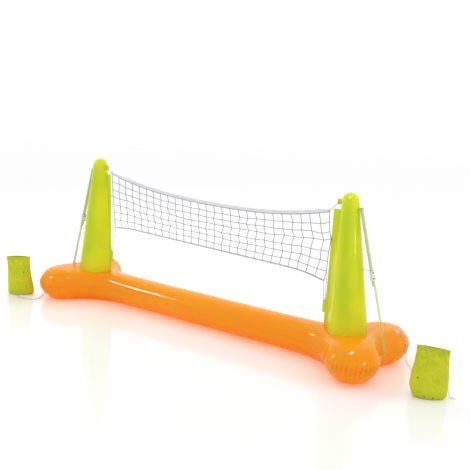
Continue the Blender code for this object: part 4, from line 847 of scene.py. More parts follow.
def netPoint(share, down):
    heights = [netHead(end) + (netFoot(end) - netHead(end)) * down for end in (0, 1, share)]
    left = -finEdgeX(heights[0]) + netSet["sideGap"] + netSet["leftDrift"] * down ** 1.5
    right = finEdgeX(heights[1]) - netSet["sideGap"] * (0.55 + (1 - down) ** 4 + 0.7 * down ** 12)
    acrossReach, downReach = netSet["tieReach"]
    pull = math.exp(-(1 - share) / acrossReach) * math.exp(-((down - tieShare) / downReach) ** 2)
    return Vector((left + (right - left) * share + netSet["tieAlong"] * pull, netPlane,
                   heights[2] + netSet["tieUp"] * pull))


def endShare(side):
    return 1.0 if side > 0 else 0.0


def sideTieSpots(side):
    share = endShare(side)
    knot, above = netPoint(share, tieShare), netPoint(share, (netSet["tieRow"] - 1) / netSet["rows"])
    level = knot.z + netSet["tieLift"]
    return (knot.lerp(above, netSet["tieLift"] / (above.z - knot.z)),
            Vector((side * (finEdgeX(level) + netSet["tieHole"]), 0.0, level)))


def makeFin(side):
    foot, top, corner, overlap = (towerSet[key] for key in ("finFoot", "finTop", "finCorner", "finOverlap"))
    hole = sideTieSpots(side)[1]
    outline = []
    for k in range(13):
        height = foot + (top - corner - foot) * k / 12
        outline.append((side * finEdgeX(height), height))
    for k in range(1, 7):
        turn = math.pi - math.pi / 2 * k / 6
        outline.append((side * (finEdgeX(top) + corner + corner * math.cos(turn)),
                        top - corner + corner * math.sin(turn)))
    outline += [(side * (innerX(top) + overlap), top), (side * (innerX(foot) + overlap), foot)]
    hole = circleLoop(hole.x - side * towerSet["holeShift"], hole.z, towerSet["holeRadius"])
    return cutSheet("finSheet_" + sideWord(side), outline[::side], [hole], towerSet["finThickness"], finVinyl,
                    edge=0.0004)


for side in bothSides:
    makeTower(side)
print("towers made")


def jitter(column, row, seed):
    return noise.noise(Vector((column * 1.71 + seed, row * 2.13, seed * 3.3)))


def netKnot(column, row):
    columns, rows, tie = netSet["columns"], netSet["rows"], netSet["tieRow"]
    spot = netPoint(column / columns, row / rows)
    if not (0 < column < columns and 0 < row < rows):
        return spot
    fromEdge = columns - 1 - column
    drawn = netSet["drawIn"] * (row / tie if row <= tie else (rows - row) / (rows - tie))
    drawn *= math.exp(-fromEdge / netSet["drawReach"])
    zig = netSet["zig"] * (1 if row % 2 else -1) * min(1.0, (fromEdge + 1) / 3)
    dip = netSet["dip"] * math.exp(-(fromEdge / netSet["dipReach"]) ** 2)
    return spot + Vector((drawn + zig + netSet["wanderAcross"] * jitter(column * 0.35, row, 1.3), 0.0,
                          netSet["wanderUp"] * jitter(column, row * 0.4, 5.1) - dip))


def makeNet():
    columns, rows, bends = netSet["columns"], netSet["rows"], netSet["bends"]
    points, edges, spot = [], [], {}
    for row in range(rows + 1):
        for column in range(columns + 1):
            spot[column, row] = len(points)
            points.append(netKnot(column, row))
    knots = [True] * len(points)

    def strand(start, end, bow):
        a, b = points[spot[start]], points[spot[end]]
        last = spot[start]
        for k in range(1, bends):
            t = k / bends
            points.append(a.lerp(b, t) + bow * (4 * t * (1 - t)))
            knots.append(False)
            edges.append((last, len(points) - 1))
            last = len(points) - 1
        edges.append((last, spot[end]))

    for row in range(rows + 1):
        for column in range(columns):
            slack = 0.0 if row in (0, rows) else netSet["slack"] + netSet["slackWander"] * jitter(column, row, 9.7)
            strand((column, row), (column + 1, row), Vector((0, 0, -slack)))
    for column in range(columns + 1):
        for row in range(rows):
            slack = netSet["slack"] * jitter(column, row, 4.4) if 0 < column < columns else 0.0
            strand((column, row), (column, row + 1), Vector((slack, 0, 0)))
    values = {"Radius": netSet["strand"] / 2, "Sides": 7, "Knot": netSet["knot"], "Finish": netCordFinish}
    dress(applyTree("netMesh", knottedNet, points, values, edges, knots), "net_mesh")


# The tape's ends are the height there and the way to full height, its waves height, pace and start
bandSet = {"steps": 220, "around": 20, "leftEnd": (0.45, 0.10), "rightEnd": (0.6, 0.03), "waves": (
    (0.0009, 61, 0), (0.0005, 143, 1)), "seamLow": 0.0030, "seamHigh": 0.0032, "weaveFrom": -0.786,
           "weaveLength": 1.562, "stitchSpacing": 0.0052, "stitchSize": (0.0019, 0.00035, 0.00042),
           "stitchBehind": 0.0002}


def bandBottom(share):
    return netHead(share) + netSet["cord"] / 2 + seamGap


def bandHeight(share):
    (first, opening), (last, closing) = bandSet["leftEnd"], bandSet["rightEnd"]
    return netSet["bandHeight"] * min(1.0, first + share / opening * (1 - first),
                                      last + (1 - share) / closing * (1 - last))


def makeBand():
    steps, rings = bandSet["steps"], []
    half = netSet["bandThickness"] / 2
    face, lines = netPlane - half - 0.0001, ([], [])
    for k in range(steps + 1):
        share = k / steps
        x, low, tall = netPoint(share, 0).x, bandBottom(share), bandHeight(share)
        high = low + tall
        thin = tall / netSet["bandHeight"]
        long, short = (rise * math.sin(share * pace + start) for rise, pace, start in bandSet["waves"])
        wave = long * thin + short
        ring = []
        for turn in turns(bandSet["around"]):
            depth = half * (1.0 + 0.5 * (1 - thin)) * bulged(math.cos(turn), 0.35)
            ring.append(Vector((x, netPlane + depth + wave * (0.5 + 0.5 * math.sin(turn)),
                                (low + high) / 2 + (high - low) / 2 * bulged(math.sin(turn), 0.8))))
        rings.append(ring)
        if thin > 0.95:
            lines[0].append(Vector((x, face + wave * 0.1, low + bandSet["seamLow"])))
            lines[1].append(Vector((x, face + wave * 0.9, high - bandSet["seamHigh"])))
    band = ringLoft("netTape", rings, tapeWeave)
    layer = band.data.uv_layers.new(name="tape")
    for loop in band.data.loops:
        spot = band.data.vertices[loop.vertex_index].co
        share = clamped((spot.x - bandSet["weaveFrom"]) / bandSet["weaveLength"])
        layer.data[loop.index].uv = (spot.x, spot.z - netHead(share))
    values = {"Spacing": bandSet["stitchSpacing"], "Size": bandSet["stitchSize"], "Finish": netCordFinish}
    rows = [applyTree("stitches", stitchRow, [point + Vector((0, behind, 0)) for point in line], values)
            for line in lines for behind in (0.0, netSet["bandThickness"] + bandSet["stitchBehind"])]
    dress(band, "net_headband")
    dress(joined("netTapeStitches", rows, smooth=True))


# Tabs, eyes and ropes of the net
tabSet = {"thickness": 0.002, "headBottom": 0.844, "headHeight": 0.030, "headReach": 0.028, "headCorner": 0.005,
          "footTop": 0.322, "footLength": 0.070, "footWidth": 0.016, "footCorner": 0.0045, "eyeInset": 0.010,
          "eyeWidth": 0.00066, "eyeRise": 0.0004, "knotDepth": 0.0052, "knotSize": 0.0029}


def footEye(side):
    height = tabSet["footTop"] - tabSet["footWidth"] * 0.6
    return Vector((side * (finEdgeX(height) - seamGap - tabSet["footWidth"] / 2), 0.0, height))


def headEye(side):
    height = tabSet["headBottom"] + tabSet["headHeight"] / 2
    return Vector((side * (innerX(height) - tabSet["headReach"] + tabSet["eyeInset"]), 0.0, height))


def makeEyedTab(name, node, loop, eye):
    hole, half = netSet["rope"] / 2 + 2 * seamGap, tabSet["thickness"] / 2
    parts = [cutSheet("tab", loop, [circleLoop(eye.x, eye.z, hole)], tabSet["thickness"], finVinyl)]
    for level in (-half, half):
        place = Matrix.Translation(eye + Vector((0, level, 0))) @ Matrix.Rotation(math.pi / 2, 4, "X")
        parts.append(torus("eyeRing", place, hole + 0.0006, tabSet["eyeWidth"], -tabSet["eyeRise"], (28, 8),
                           strapVinyl))
    dress(joined(name, parts, 45), node)


def makeNetTabs(side):
    word, width, length = sideWord(side), tabSet["footWidth"], tabSet["footLength"]
    bottom, top, footTop = tabSet["headBottom"], tabSet["headBottom"] + tabSet["headHeight"], tabSet["footTop"]
    loop = roundedLoop(innerX(bottom) - tabSet["headReach"], innerX(top) + towerSet["finOverlap"], bottom, top,
                       tabSet["headCorner"])
    loop = [(side * x, z) for x, z in loop][::side]
    makeEyedTab("headTab_" + word, "net_head_tab_" + word, loop, headEye(side))
    middle = side * (finEdgeX(footTop) - seamGap - width / 2)
    lean = side * (finEdgeX(footTop - length) - finEdgeX(footTop))
    loop = [(middle + x + lean * (footTop - z) / length, z)
            for x, z in roundedLoop(-width / 2, width / 2, footTop - length, footTop, tabSet["footCorner"])]
    makeEyedTab("footTab_" + word, "net_foot_tab_" + word, loop, footEye(side))


def throughEye(eye):
    back = tabSet["thickness"] / 2
    return [Vector((eye.x, y, eye.z)) for y in (netPlane, back, back + 0.0034)]


def eyeKnot(name, eye, axis):
    return knotPiece(name, eye + Vector((0, tabSet["knotDepth"], 0)), axis, tabSet["knotSize"],
                     netSet["rope"] * 0.72, netCordFinish, 10)


def makeFootRope():
    rope = netSet["rope"]
    drop = netSet["cord"] / 2 + rope / 2 + 4 * seamGap
    along = [netPoint(k / 64, 1.0) - upward * drop for k in range(65)]
    ends = []
    for side, corner in zip(bothSides, (along[0], along[-1])):
        eye = footEye(side)
        flat = Vector((eye.x, netPlane, eye.z))
        ends.append([corner.lerp(flat, k / 12) - Vector((side * 0.002 * math.sin(math.pi * k / 12), 0, 0))
                     for k in range(1, 12)] + throughEye(eye))
    parts = [ropePiece("footRope", ends[0][::-1] + along + ends[1], rope, ropeFinish)]
    parts += [eyeKnot("footRopeKnot", footEye(side), (0.2, 1, 0.3)) for side in bothSides]
    dress(joined("netFootRope", parts), "net_foot_rope")


whipSet = {"turns": 3, "steps": 48, "start": -0.0018, "length": 0.0052, "depth": 0.0028, "height": 0.0058,
           "cord": 0.0016}


def whipRoute(side, start):
    route = []
    for k in range(whipSet["steps"] + 1):
        share = k / whipSet["steps"]
        angle = math.tau * whipSet["turns"] * share
        route.append(start + Vector((side * (whipSet["start"] + whipSet["length"] * share),
                                     whipSet["depth"] * math.sin(angle), whipSet["height"] * math.cos(angle))))
    return route


def makeHeadTie(side):
    rope, eye, share = netSet["rope"], headEye(side), endShare(side)
    corner = netPoint(share, 0)
    start = Vector((corner.x + side * seamGap, netPlane, bandBottom(share) + bandHeight(share) / 2))
    turn = start + Vector((side * rope * 0.8, 0, 0))
    through = throughEye(eye)
    route = [start] + smoothRoute([turn, turn.lerp(through[0], 0.5) - upward * 0.001, through[0]], 12)
    return [ropePiece("tie", route + through[1:], rope, ropeFinish), eyeKnot("tieKnot", eye, (-0.3, 1, 0.2)),
            ropePiece("tieWhip", whipRoute(side, start), whipSet["cord"], netCordFinish, sides=8)]


def makeSideCord(side):
    cord = netSet["sideCord"]
    edge = netPoint(endShare(side), (netSet["rows"] - 1) / netSet["rows"])
    spacing = (netSet["cord"] + cord) / 2 + seamGap
    start = edge + Vector((side * spacing * 1.3, 0, -netSet["cord"]))
    end = Vector((footEye(side).x + side * tabSet["footWidth"] * 0.27, 0, tabSet["footTop"] + seamGap))
    route = smoothRoute([start, start.lerp(end, 0.5), end + upward * 0.012, end + upward * 0.003], 24)
    return [ropePiece("sideCord", route, cord, netCordFinish, sides=10),
            knotPiece("sideKnot", end + upward * 0.0045, (0, 1, 0), 0.0024, cord * 0.8, netCordFinish, 8)]


def makeSideTie(side):
    strand, hole = sideTieSpots(side)
    tie = netSet["tieCord"]
    front, back = netPlane - (netSet["cord"] + tie) / 2 - seamGap, finHalf + tie / 2 + seamGap
    radius, middle, mid = (back - front) / 2, (back + front) / 2, (strand + hole) / 2
    route = []
    for centre, begin in ((strand.x + side * 0.0002, 90), (hole.x - side * radius, -90)):
        for k in range(15):
            angle = math.radians(begin + 180 * k / 14)
            route.append(Vector((centre + side * radius * math.cos(angle), middle + radius * math.sin(angle), hole.z)))
    tail = smoothRoute([Vector((mid.x - side * x, front - y, hole.z - z)) for x, y, z in (
        (0, 0, 0), (0.002, 0.002, 0.006), (0.001, 0.001, 0.013))], 8)
    return [ropePiece("tieLoop", route + route[:1], tie, netCordFinish, sides=9, lay=0.006),
            knotPiece("loopKnot", Vector((mid.x, front - 0.0004, hole.z)), (0, 1, 0), 0.0019, tie * 0.75,
                      netCordFinish, 8),
            ropePiece("loopTail", tail, tie, netCordFinish, sides=8)]


makeNet()
makeBand()
for side in bothSides:
    makeNetTabs(side)
makeFootRope()
for side in bothSides:
    for name, node, make in (("headTie_", "net_head_tie_", makeHeadTie), ("sideCord_", "net_side_cord_", makeSideCord),
                             ("sideTie_", "net_side_tie_", makeSideTie)):
        dress(joined(name + sideWord(side), make(side)), node + sideWord(side))
print("net, tape and ropes made")


# Tension straps
strapSet = {"width": 0.023, "thickness": 0.0012, "topLevel": 0.840, "topOut": 0.018, "spacing": 0.0080,
            "footOut": 0.025, "footLevel": 0.108, "buckleShare": 0.54, "buckleLength": 0.050, "rail": 0.0045,
            "skin": 0.0026, "travel": 0.025, "slack": 0.0005, "keeperWidth": 0.010, "keeperThickness": 0.002,
            "armWidth": 0.0062, "tabMargin": 0.007, "tabRoot": 0.012, "footWeld": 0.016, "grips": 5,
            "gripSpacing": 0.0055, "gripSize": (0.0012, 0.0022), "gripOut": 0.0002, "plateInset": 0.0035,
            "plateEnd": 0.0062, "plateMiddle": 0.0220, "barInset": 0.003, "barSize": 0.005, "lap": 0.002}
strapWidth, strapThick, strapSpacing = (strapSet[key] for key in ("width", "thickness", "spacing"))
strapFoot = Vector((valleyRim + strapSet["footOut"], 0.0, strapSet["footLevel"]))
strapHead = Vector((outerX(strapSet["topLevel"]) + strapSet["topOut"], 0.0, strapSet["topLevel"]))
strapAlong = (strapHead - strapFoot).normalized()
strapAcross = Vector((-strapAlong.z, 0.0, strapAlong.x))
buckleMiddle = strapFoot.lerp(strapHead, strapSet["buckleShare"]) + strapAcross * strapSpacing / 2


def strapTurn(side):
    flip = Matrix.Diagonal((side, 1, 1))
    return flip @ Matrix((-strapAcross, Vector((0, 1, 0)), strapAlong)).transposed() @ flip


def ribbon(name, line, side, width, thickness, ripple=0.0):
    rings = []
    for index, (point, normal) in enumerate(line):
        point, normal = flipped(point, side), flipped(normal, side)
        ring = []
        for turn in turns(16):
            y, n = width / 2 * bulged(math.cos(turn), 0.5), thickness / 2 * bulged(math.sin(turn), 0.6)
            ring.append(point + normal * (n + ripple * math.sin(index * 0.9) * (y / width) ** 2) + Vector((0, y, 0)))
        rings.append(ring)
    return ringLoft(name, rings, strapVinyl, sharp=60)


def makeStrap(side):
    bend = strapSpacing / 2
    centre = strapHead + strapAcross * bend
    tail = buckleMiddle + strapAcross * bend - strapAlong * (strapSet["buckleLength"] / 2 + strapSet["travel"] + 0.005)
    line = [(strapFoot.lerp(strapHead, k / 60), strapAcross) for k in range(60)]
    for k in range(13):
        turn = math.pi * k / 12
        out = -strapAcross * math.cos(turn) + strapAlong * math.sin(turn)
        line.append((centre + out * bend, -out))
    top = centre + strapAcross * bend
    line += [(top.lerp(tail, k / 36), -strapAcross) for k in range(1, 37)]
    weld = [(strapFoot + strapAlong * d + strapAcross * 0.0008, strapAcross) for d in (0.001, 0.008, 0.015)]
    parts = [ribbon("strap", line, side, strapWidth, strapThick, 0.0006),
             ribbon("strapWeld", weld, side, strapWidth * 0.9, 0.0006)]
    dress(joined("strap_" + sideWord(side), parts), "tension_strap_" + sideWord(side))


def makeBuckle(side):
    turn, middle = strapTurn(side), flipped(buckleMiddle, side)
    length, rail, skin = strapSet["buckleLength"], strapSet["rail"], strapSet["skin"]
    channel, inner = strapThick + 2 * strapSet["slack"], strapWidth + 2 * strapSet["slack"]
    depth = strapSpacing + channel + 2 * skin
    parts = []

    def bar(x, y, z, size, bevel):
        parts.append(boxAt("bar", middle + turn @ Vector((side * x, y, z)), size, turn, whitePlastic, bevel))

    for y in bothSides:
        bar(0, y * (inner + rail) / 2, 0, (depth, rail, length), 0.0016)
        for grip in range(strapSet["grips"]):
            bar(0, y * (inner / 2 + rail + strapSet["gripOut"]), (grip - 2) * strapSet["gripSpacing"],
                (depth * 0.7, *strapSet["gripSize"]), 0.0005)
    low, wide = depth / 2 - skin / 2, inner + strapSet["lap"]
    end = length / 2 - strapSet["plateInset"]
    for x in (-low, low):
        for z, tall in ((-end, strapSet["plateEnd"]), (0.0, strapSet["plateMiddle"]), (end, strapSet["plateEnd"])):
            bar(x, 0, z, (skin, wide, tall), 0.0009)
    end = length / 2 - strapSet["barInset"]
    for z in (-end, end):
        bar(0, 0, z, (strapSpacing - channel, wide, strapSet["barSize"]), 0.0008)
    word = sideWord(side)
    dress(joined("buckle_" + word, parts, 42), "strap_buckle_" + word, "buckle_" + word)


def makeUpperTab(side):
    word, turn, tabThick = sideWord(side), strapTurn(side), tabSet["thickness"]
    barRadius = strapSpacing / 2 - strapThick / 2 - seamGap
    bar = strapHead + strapAcross * (strapSpacing / 2)
    width = strapWidth + 2 * strapSet["tabMargin"]
    reach = (bar.x - (outerX(strapSet["topLevel"]) - strapSet["tabRoot"])) / -strapAcross.x
    parts = []
    for y in bothSides:
        centre = bar + strapAcross * reach / 2 + Vector((0, y * (width - strapSet["armWidth"]) / 2, 0))
        parts.append(boxAt("tabArm", flipped(centre, side), (reach, strapSet["armWidth"], tabThick), turn, strapVinyl))
    slot = strapSpacing / 2 + strapThick / 2 + 2 * seamGap
    centre = bar + strapAcross * (slot + (reach - slot) / 2)
    parts.append(boxAt("tabPlate", flipped(centre, side), (reach - slot, width, tabThick * 1.02), turn, strapVinyl))
    place = Matrix.Translation(flipped(bar, side)) @ Matrix.Rotation(math.pi / 2, 4, "X")
    profile = [(barRadius * 0.7, -width / 2), (barRadius, -width / 2 + 0.0012), (barRadius, width / 2 - 0.0012),
               (barRadius * 0.7, width / 2)]
    parts.append(turned("tabBar", profile, 20, place, strapVinyl))
    dress(joined("strapTab_" + word, parts, 45), "strap_tab_" + word)


def makeFlatTabs(side):
    word, thick, seam = sideWord(side), tabSet["thickness"], seamHeight
    top = buckleMiddle + strapAlong * (strapSet["buckleLength"] / 2 + seamGap + strapSet["keeperThickness"])
    leg = top + strapAcross * (strapSpacing / 2 + strapThick / 2 + seamGap)
    slope, half = strapAlong.x / strapAlong.z, strapSet["keeperThickness"] / 2
    back = outerX(leg.z) - 0.006
    keeper = [(back, leg.z - half), (leg.x - slope * half, leg.z - half), (leg.x + slope * half, leg.z + half),
              (back, leg.z + half)]
    face = strapFoot + strapAcross * (strapThick / 2 + seamGap)
    weldTop, root = face + strapAlong * strapSet["footWeld"], valleyRim - 0.012
    foot = [(root, seam - thick / 2), (face.x - 0.004, seam - thick / 2), (face.x, strapFoot.z - 0.004),
            (face.x, face.z), (weldTop.x, weldTop.z), (weldTop.x - thick, weldTop.z),
            (face.x - thick * 1.5, seam + thick / 2 + 0.003), (face.x - thick * 3, seam + thick / 2),
            (root, seam + thick / 2)]
    for name, node, loop, width, finish, slotName in (
            ("keeper_", "strap_keeper_", keeper, strapSet["keeperWidth"], strapVinyl, "strap_vinyl"),
            ("strapFootTab_", "strap_foot_tab_", foot, strapWidth, baseVinyl, "base_vinyl")):
        loop = [(side * x, z) for x, z in loop][::side]
        dress(cutSheet(name + word, loop, [], width, finish), node + word)


for side in bothSides:
    makeStrap(side)
    makeBuckle(side)
    makeUpperTab(side)
    makeFlatTabs(side)
print("straps and buckles made")


# Anchor patches, rings, bags and cords
anchorSet = {"patchRadius": 0.021, "patchThickness": 0.0016, "patchTurn": math.radians(-14),
             "patchClimb": math.radians(43), "ringRadius": 0.0085, "ringCord": 0.0030, "cord": 0.0036,
             "flankTurn": math.radians(-6), "tailCord": 0.003, "groove": 0.06, "knotSize": 0.75, "knotCord": 0.62}
bagSet = {"welds": ((0.0009, 0.985, 0.010), (0.0007, 0.918, 0.006)),  # rise, share of the height, width
          "hemFrom": 0.91, "creaseDepth": 0.0042, "creaseWidth": 0.22, "fineDepth": 0.0016, "height": 0.248,
          "wall": 0.0011, "hem": 0.021, "rings": 64, "steps": 96, "cordPlaces": (-0.038, 0.052),
          "frames": {-1: ((-1.304, -0.317, 0), math.radians(38), 0.0),
                     1: ((1.448, -0.121, 0), math.radians(30), 0.010)},
          "halfWidth": 0.080, "halfDepth": 0.050, "ventRadius": 0.0036,
          "vents": {-1: ((0.030, 0.152), (0.044, 0.062)), 1: ((-0.072, 0.104), (-0.034, 0.016), (0.008, 0.014))},
          "sections": {  # share of the height, half width, half depth, shift sideways, flatness
              -1: ((0.00, 0.900, 0.80, 0.030, 1.0), (0.04, 1.060, 1.00, 0.050, 1.0),
                   (0.20, 1.040, 1.00, 0.025, 1.1), (0.45, 0.970, 0.92, -0.040, 1.2),
                   (0.70, 0.913, 0.76, -0.087, 1.4), (0.88, 0.925, 0.62, -0.125, 1.7),
                   (1.00, 0.963, 0.54, -0.150, 1.9)),
              1: ((0.00, 0.880, 0.80, -0.030, 1.0), (0.05, 1.060, 1.00, -0.060, 1.0),
                  (0.22, 1.165, 1.06, -0.120, 1.0), (0.42, 1.150, 1.00, -0.115, 1.1),
                  (0.65, 1.055, 0.78, -0.080, 1.3), (0.85, 1.000, 0.48, -0.050, 1.6),
                  (1.00, 1.000, 0.24, -0.037, 1.9))}}


def bagPlace(side, along, depth, height):
    centre, turn, droop = bagSet["frames"][side]
    lower = droop * along / 0.08 * (height / bagSet["height"]) ** 2
    return Vector(centre) + Vector((along * math.cos(turn) - depth * math.sin(turn),
                                    along * math.sin(turn) + depth * math.cos(turn), height - lower))


def bagSection(side, share):
    rows = bagSet["sections"][side]
    upper = next(place for place in range(1, len(rows)) if rows[place][0] >= share - 1e-9)
    low, high = rows[upper - 1], rows[upper]
    t = (share - low[0]) / (high[0] - low[0])
    width, depth, shift, flat = (low[k] + (high[k] - low[k]) * t for k in range(1, 5))
    return width * bagSet["halfWidth"], depth * bagSet["halfDepth"], shift * bagSet["halfWidth"], flat


def bagHalfDepth(side, along, height):
    width, depth, shift, flat = bagSection(side, min(1.0, height / bagSet["height"]))
    return depth * (1 - min(1.0, abs((along - shift) / width)) ** 2) ** (flat / 2)


def bagCrease(side, turn, share):
    spot = Vector((math.cos(turn) * 1.9, math.sin(turn) * 1.9, share * 3.0 + side * 4))
    fold = abs(noise.noise(spot * 1.3)) - 0.25
    fine = noise.noise(spot * 3.1 + Vector((7, 1, 3)))
    wide = bagSet["creaseWidth"]
    return (-bagSet["creaseDepth"] * max(0.0, wide - abs(fold)) / wide * (0.4 + share)
            - bagSet["fineDepth"] * abs(fine))


def makeBag(side):
    count, wall, height, shadeAndHemWeights = bagSet["rings"], bagSet["wall"], bagSet["height"], []

    def ring(share, inset, level=None, lift=0.0):
        width, depth, shift, flat = bagSection(side, share)
        hem = sum(rise * math.exp(-((share - place) / wide) ** 2) for rise, place, wide in bagSet["welds"])
        band = clamped((share - bagSet["hemFrom"] - 0.002) / 0.01)
        loop = []
        for turn in turns(bagSet["steps"]):
            across = math.sin(turn)
            dent = bagCrease(side, turn, share) * min(1.0, 6 * share) * (0.35 if share > bagSet["hemFrom"] else 1.0)
            # painted shade in the deep creases; the hem band at the top is darker too
            shadeAndHemWeights.append(min(0.8, 0.45 * band + max(0.0, -dent - 0.0028) * 120))
            loop.append(bagPlace(side, shift + (width - inset + dent * 0.5 + hem) * math.cos(turn),
                                 bulged(across, flat) * (depth - inset + dent) + hem * across,
                                 height * share if level is None else level) + upward * lift)
        return loop

    rings = [ring(0.0, 0.02, 0.0), ring(0.0, 0.006, 0.0), ring(0.0, 0.0, 0.0006)]
    rings += [ring((k / count) ** 1.1, 0.0) for k in range(1, count + 1)]
    rings.append(ring(1.0, wall / 2, lift=0.0007))
    rings += [ring((k / count) ** 1.1, wall) for k in range(count, 4, -1)]
    rings += [ring(0.02, wall + 0.003, 0.004), ring(0.0, 0.02, 0.0025)]
    body = ringLoft("bag_" + sideWord(side), rings, bagVinyl, sharp=70)
    painted(body, shadeAndHemWeights)
    dress(body, "anchor_bag_" + sideWord(side))


# the vents are dark discs on the bag wall, painted shade of the holes
def makeVents(side):
    radius, parts = bagSet["ventRadius"], []
    profile = [(radius, -0.0030), (radius, 0.0003), (radius * 0.8, 0.0008), (radius * 0.55, 0.0005),
               (radius * 0.1, -0.0002)]
    for along, level in bagSet["vents"][side]:
        before, middle, after = (bagPlace(side, along + d, -bagHalfDepth(side, along + d, level), level)
                                 for d in (-0.004, 0.0, 0.004))
        turn = (after - before).cross(upward).normalized().to_track_quat("Z", "Y").to_matrix().to_4x4()
        parts.append(turned("vent", profile, 20, Matrix.Translation(middle) @ turn, ventHoleShade))
    dress(joined("bagVents_" + sideWord(side), parts, smooth=True))


def makePatch(side):
    point, normal = (flipped(v, side) for v in lobeSurface(anchorSet["patchTurn"], anchorSet["patchClimb"]))
    turn = normal.to_track_quat("Z", "Y").to_matrix()
    radius, thick, cord = anchorSet["patchRadius"], anchorSet["patchThickness"], anchorSet["ringCord"] / 2
    profile = [(radius, -0.0006), (radius, thick * 0.35), (radius - 0.0009, thick * 0.75),
               (radius - 0.0038, thick * 0.8), (radius - 0.0046, thick * 0.45), (radius * 0.55, thick * 0.45),
               (radius * 0.5, thick * 0.75), (radius * 0.2, thick * 0.75)]
    rings = []
    for reach, lift in profile:
        loop = []
        for angle in turns(56):
            flat = point + turn @ Vector((reach * math.cos(angle), reach * math.sin(angle), 0))
            skin, skinNormal = baseSkin.find_nearest(flat)[:2]
            loop.append(skin + skinNormal * lift)
        rings.append(loop)
    word = sideWord(side)
    dress(ringLoft("patch_" + word, rings, clearVinyl), "anchor_patch_" + word)
    place = Matrix.Translation(point + normal * (thick + cord + seamGap)) @ turn.to_4x4()
    ring = torus("anchorRing_" + word, place, anchorSet["ringRadius"], cord, cord, (40, 14), whitePlastic)
    dress(ring, "anchor_ring_" + word)


def ringKnot(side):
    radius, ring, thick = anchorSet["cord"] / 2, anchorSet["ringRadius"], anchorSet["patchThickness"]
    point, normal = lobeSurface(anchorSet["patchTurn"], anchorSet["patchClimb"])
    down = (lobeSurface(anchorSet["flankTurn"], anchorSet["patchClimb"] / 2)[0] - point).normalized()
    down = (down - normal * down.dot(normal)).normalized()
    low, over = thick + radius + seamGap, thick + anchorSet["ringCord"] + radius + 3 * seamGap
    route = [(-0.0020, low), (0.0010, low), (0.0040, low + 0.0014), (ring - 0.0025, over),
             (ring + 0.0025, over), (ring + 0.0085, over - 0.0004)]
    return [flipped(point + down * reach + normal * lift, side) for reach, lift in route]


def flankRoute(side):
    route = []
    for share in (0.68, 0.42, 0.14):
        turn = anchorSet["flankTurn"] + (anchorSet["patchTurn"] - anchorSet["flankTurn"]) * share
        spot = lobeSurface(turn, anchorSet["patchClimb"] * share, anchorSet["cord"] / 2 + 10 * seamGap)[0]
        route.append(flipped(spot, side))
    return route


def wallPoint(along, level, diameter, sign=1):
    return bagPlace(1, along, sign * (bagHalfDepth(1, along, level) + diameter / 2 + 6 * seamGap), level)


def rimRoute(along, diameter):
    clear, top, hem = diameter / 2 + 4 * seamGap, bagSet["height"], bagSet["hem"]
    reach = bagHalfDepth(1, along, top) * 0.8 + clear * 0.4
    return ([wallPoint(along, top - 0.001, diameter)]
            + [bagPlace(1, along, depth, top + clear * rise) for depth, rise in ((reach, 1), (0.0, 1.2), (-reach, 1))]
            + [wallPoint(along, level, diameter, -1) for level in (top - 0.001, top - hem * 0.5, top - hem)])


def onFloor(route, diameter):
    return [Vector((x, y, max(z, diameter / 2 + seamGap))) for x, y, z in route]


def rightCordRoute(cord, near, top):
    hang = [Vector(point) for point in ((1.2045, 0.158, 0.082), (1.213, 0.143, 0.052), (1.237, 0.113, 0.036),
                                        (1.288, 0.052, 0.034), (1.336, -0.010, 0.050))]
    hang += [bagPlace(1, near, 0.078, 0.080), bagPlace(1, near, 0.056, 0.115)]
    hang += [wallPoint(near, top * share, cord) for share in (0.60, 0.72, 0.82, 0.92)]
    rim, knot = rimRoute(near, cord), ringKnot(1)
    return knot + smoothRoute(knot[-1:] + flankRoute(1) + hang + rim[:1], 62)[1:] + rim[1:]


def leftCordRoute(cord):
    end = [bagPlace(-1, along, -bagHalfDepth(-1, along, level) - cord / 2 * swell - seamGap, level)
           for along, level, swell in ((0.000, 0.012, 4.0), (-0.006, 0.016, 2.0), (-0.009, 0.018, 1.5),
                                       (-0.012, 0.020, 1.5))]
    hang = [Vector((-1.206, 0.160, 0.060)), Vector((-1.212, 0.143, 0.016))]
    hang += [Vector((x, y, cord / 2 + seamGap)) for x, y in (
        (-1.224, 0.110), (-1.247, 0.030), (-1.250, -0.060), (-1.240, -0.135), (-1.216, -0.185),
        (-1.174, -0.235), (-1.138, -0.288), (-1.122, -0.325), (-1.132, -0.358), (-1.162, -0.378),
        (-1.200, -0.388), (-1.240, -0.390))]
    knot = ringKnot(-1)
    return onFloor(knot + smoothRoute(knot[-1:] + flankRoute(-1) + hang + end[:1], 72)[1:] + end[1:], cord)


def tailRoute(tail, far, top):
    rim = rimRoute(far, tail)[::-1]
    down = [wallPoint(far + shift, top * share, tail) for shift, share in (
        (0.0, 0.90), (0.00096, 0.77), (0.004, 0.62), (0.010, 0.44), (0.020, 0.28))]
    down += [bagPlace(1, *spot) for spot in ((0.088, 0.022, 0.035), (0.0944, 0.012, 0.006),
                                             (0.102, 0.0032, 0.0), (0.1128, -0.012, 0.0))]
    return onFloor(rim + smoothRoute(rim[-1:] + down, 34)[1:], tail)


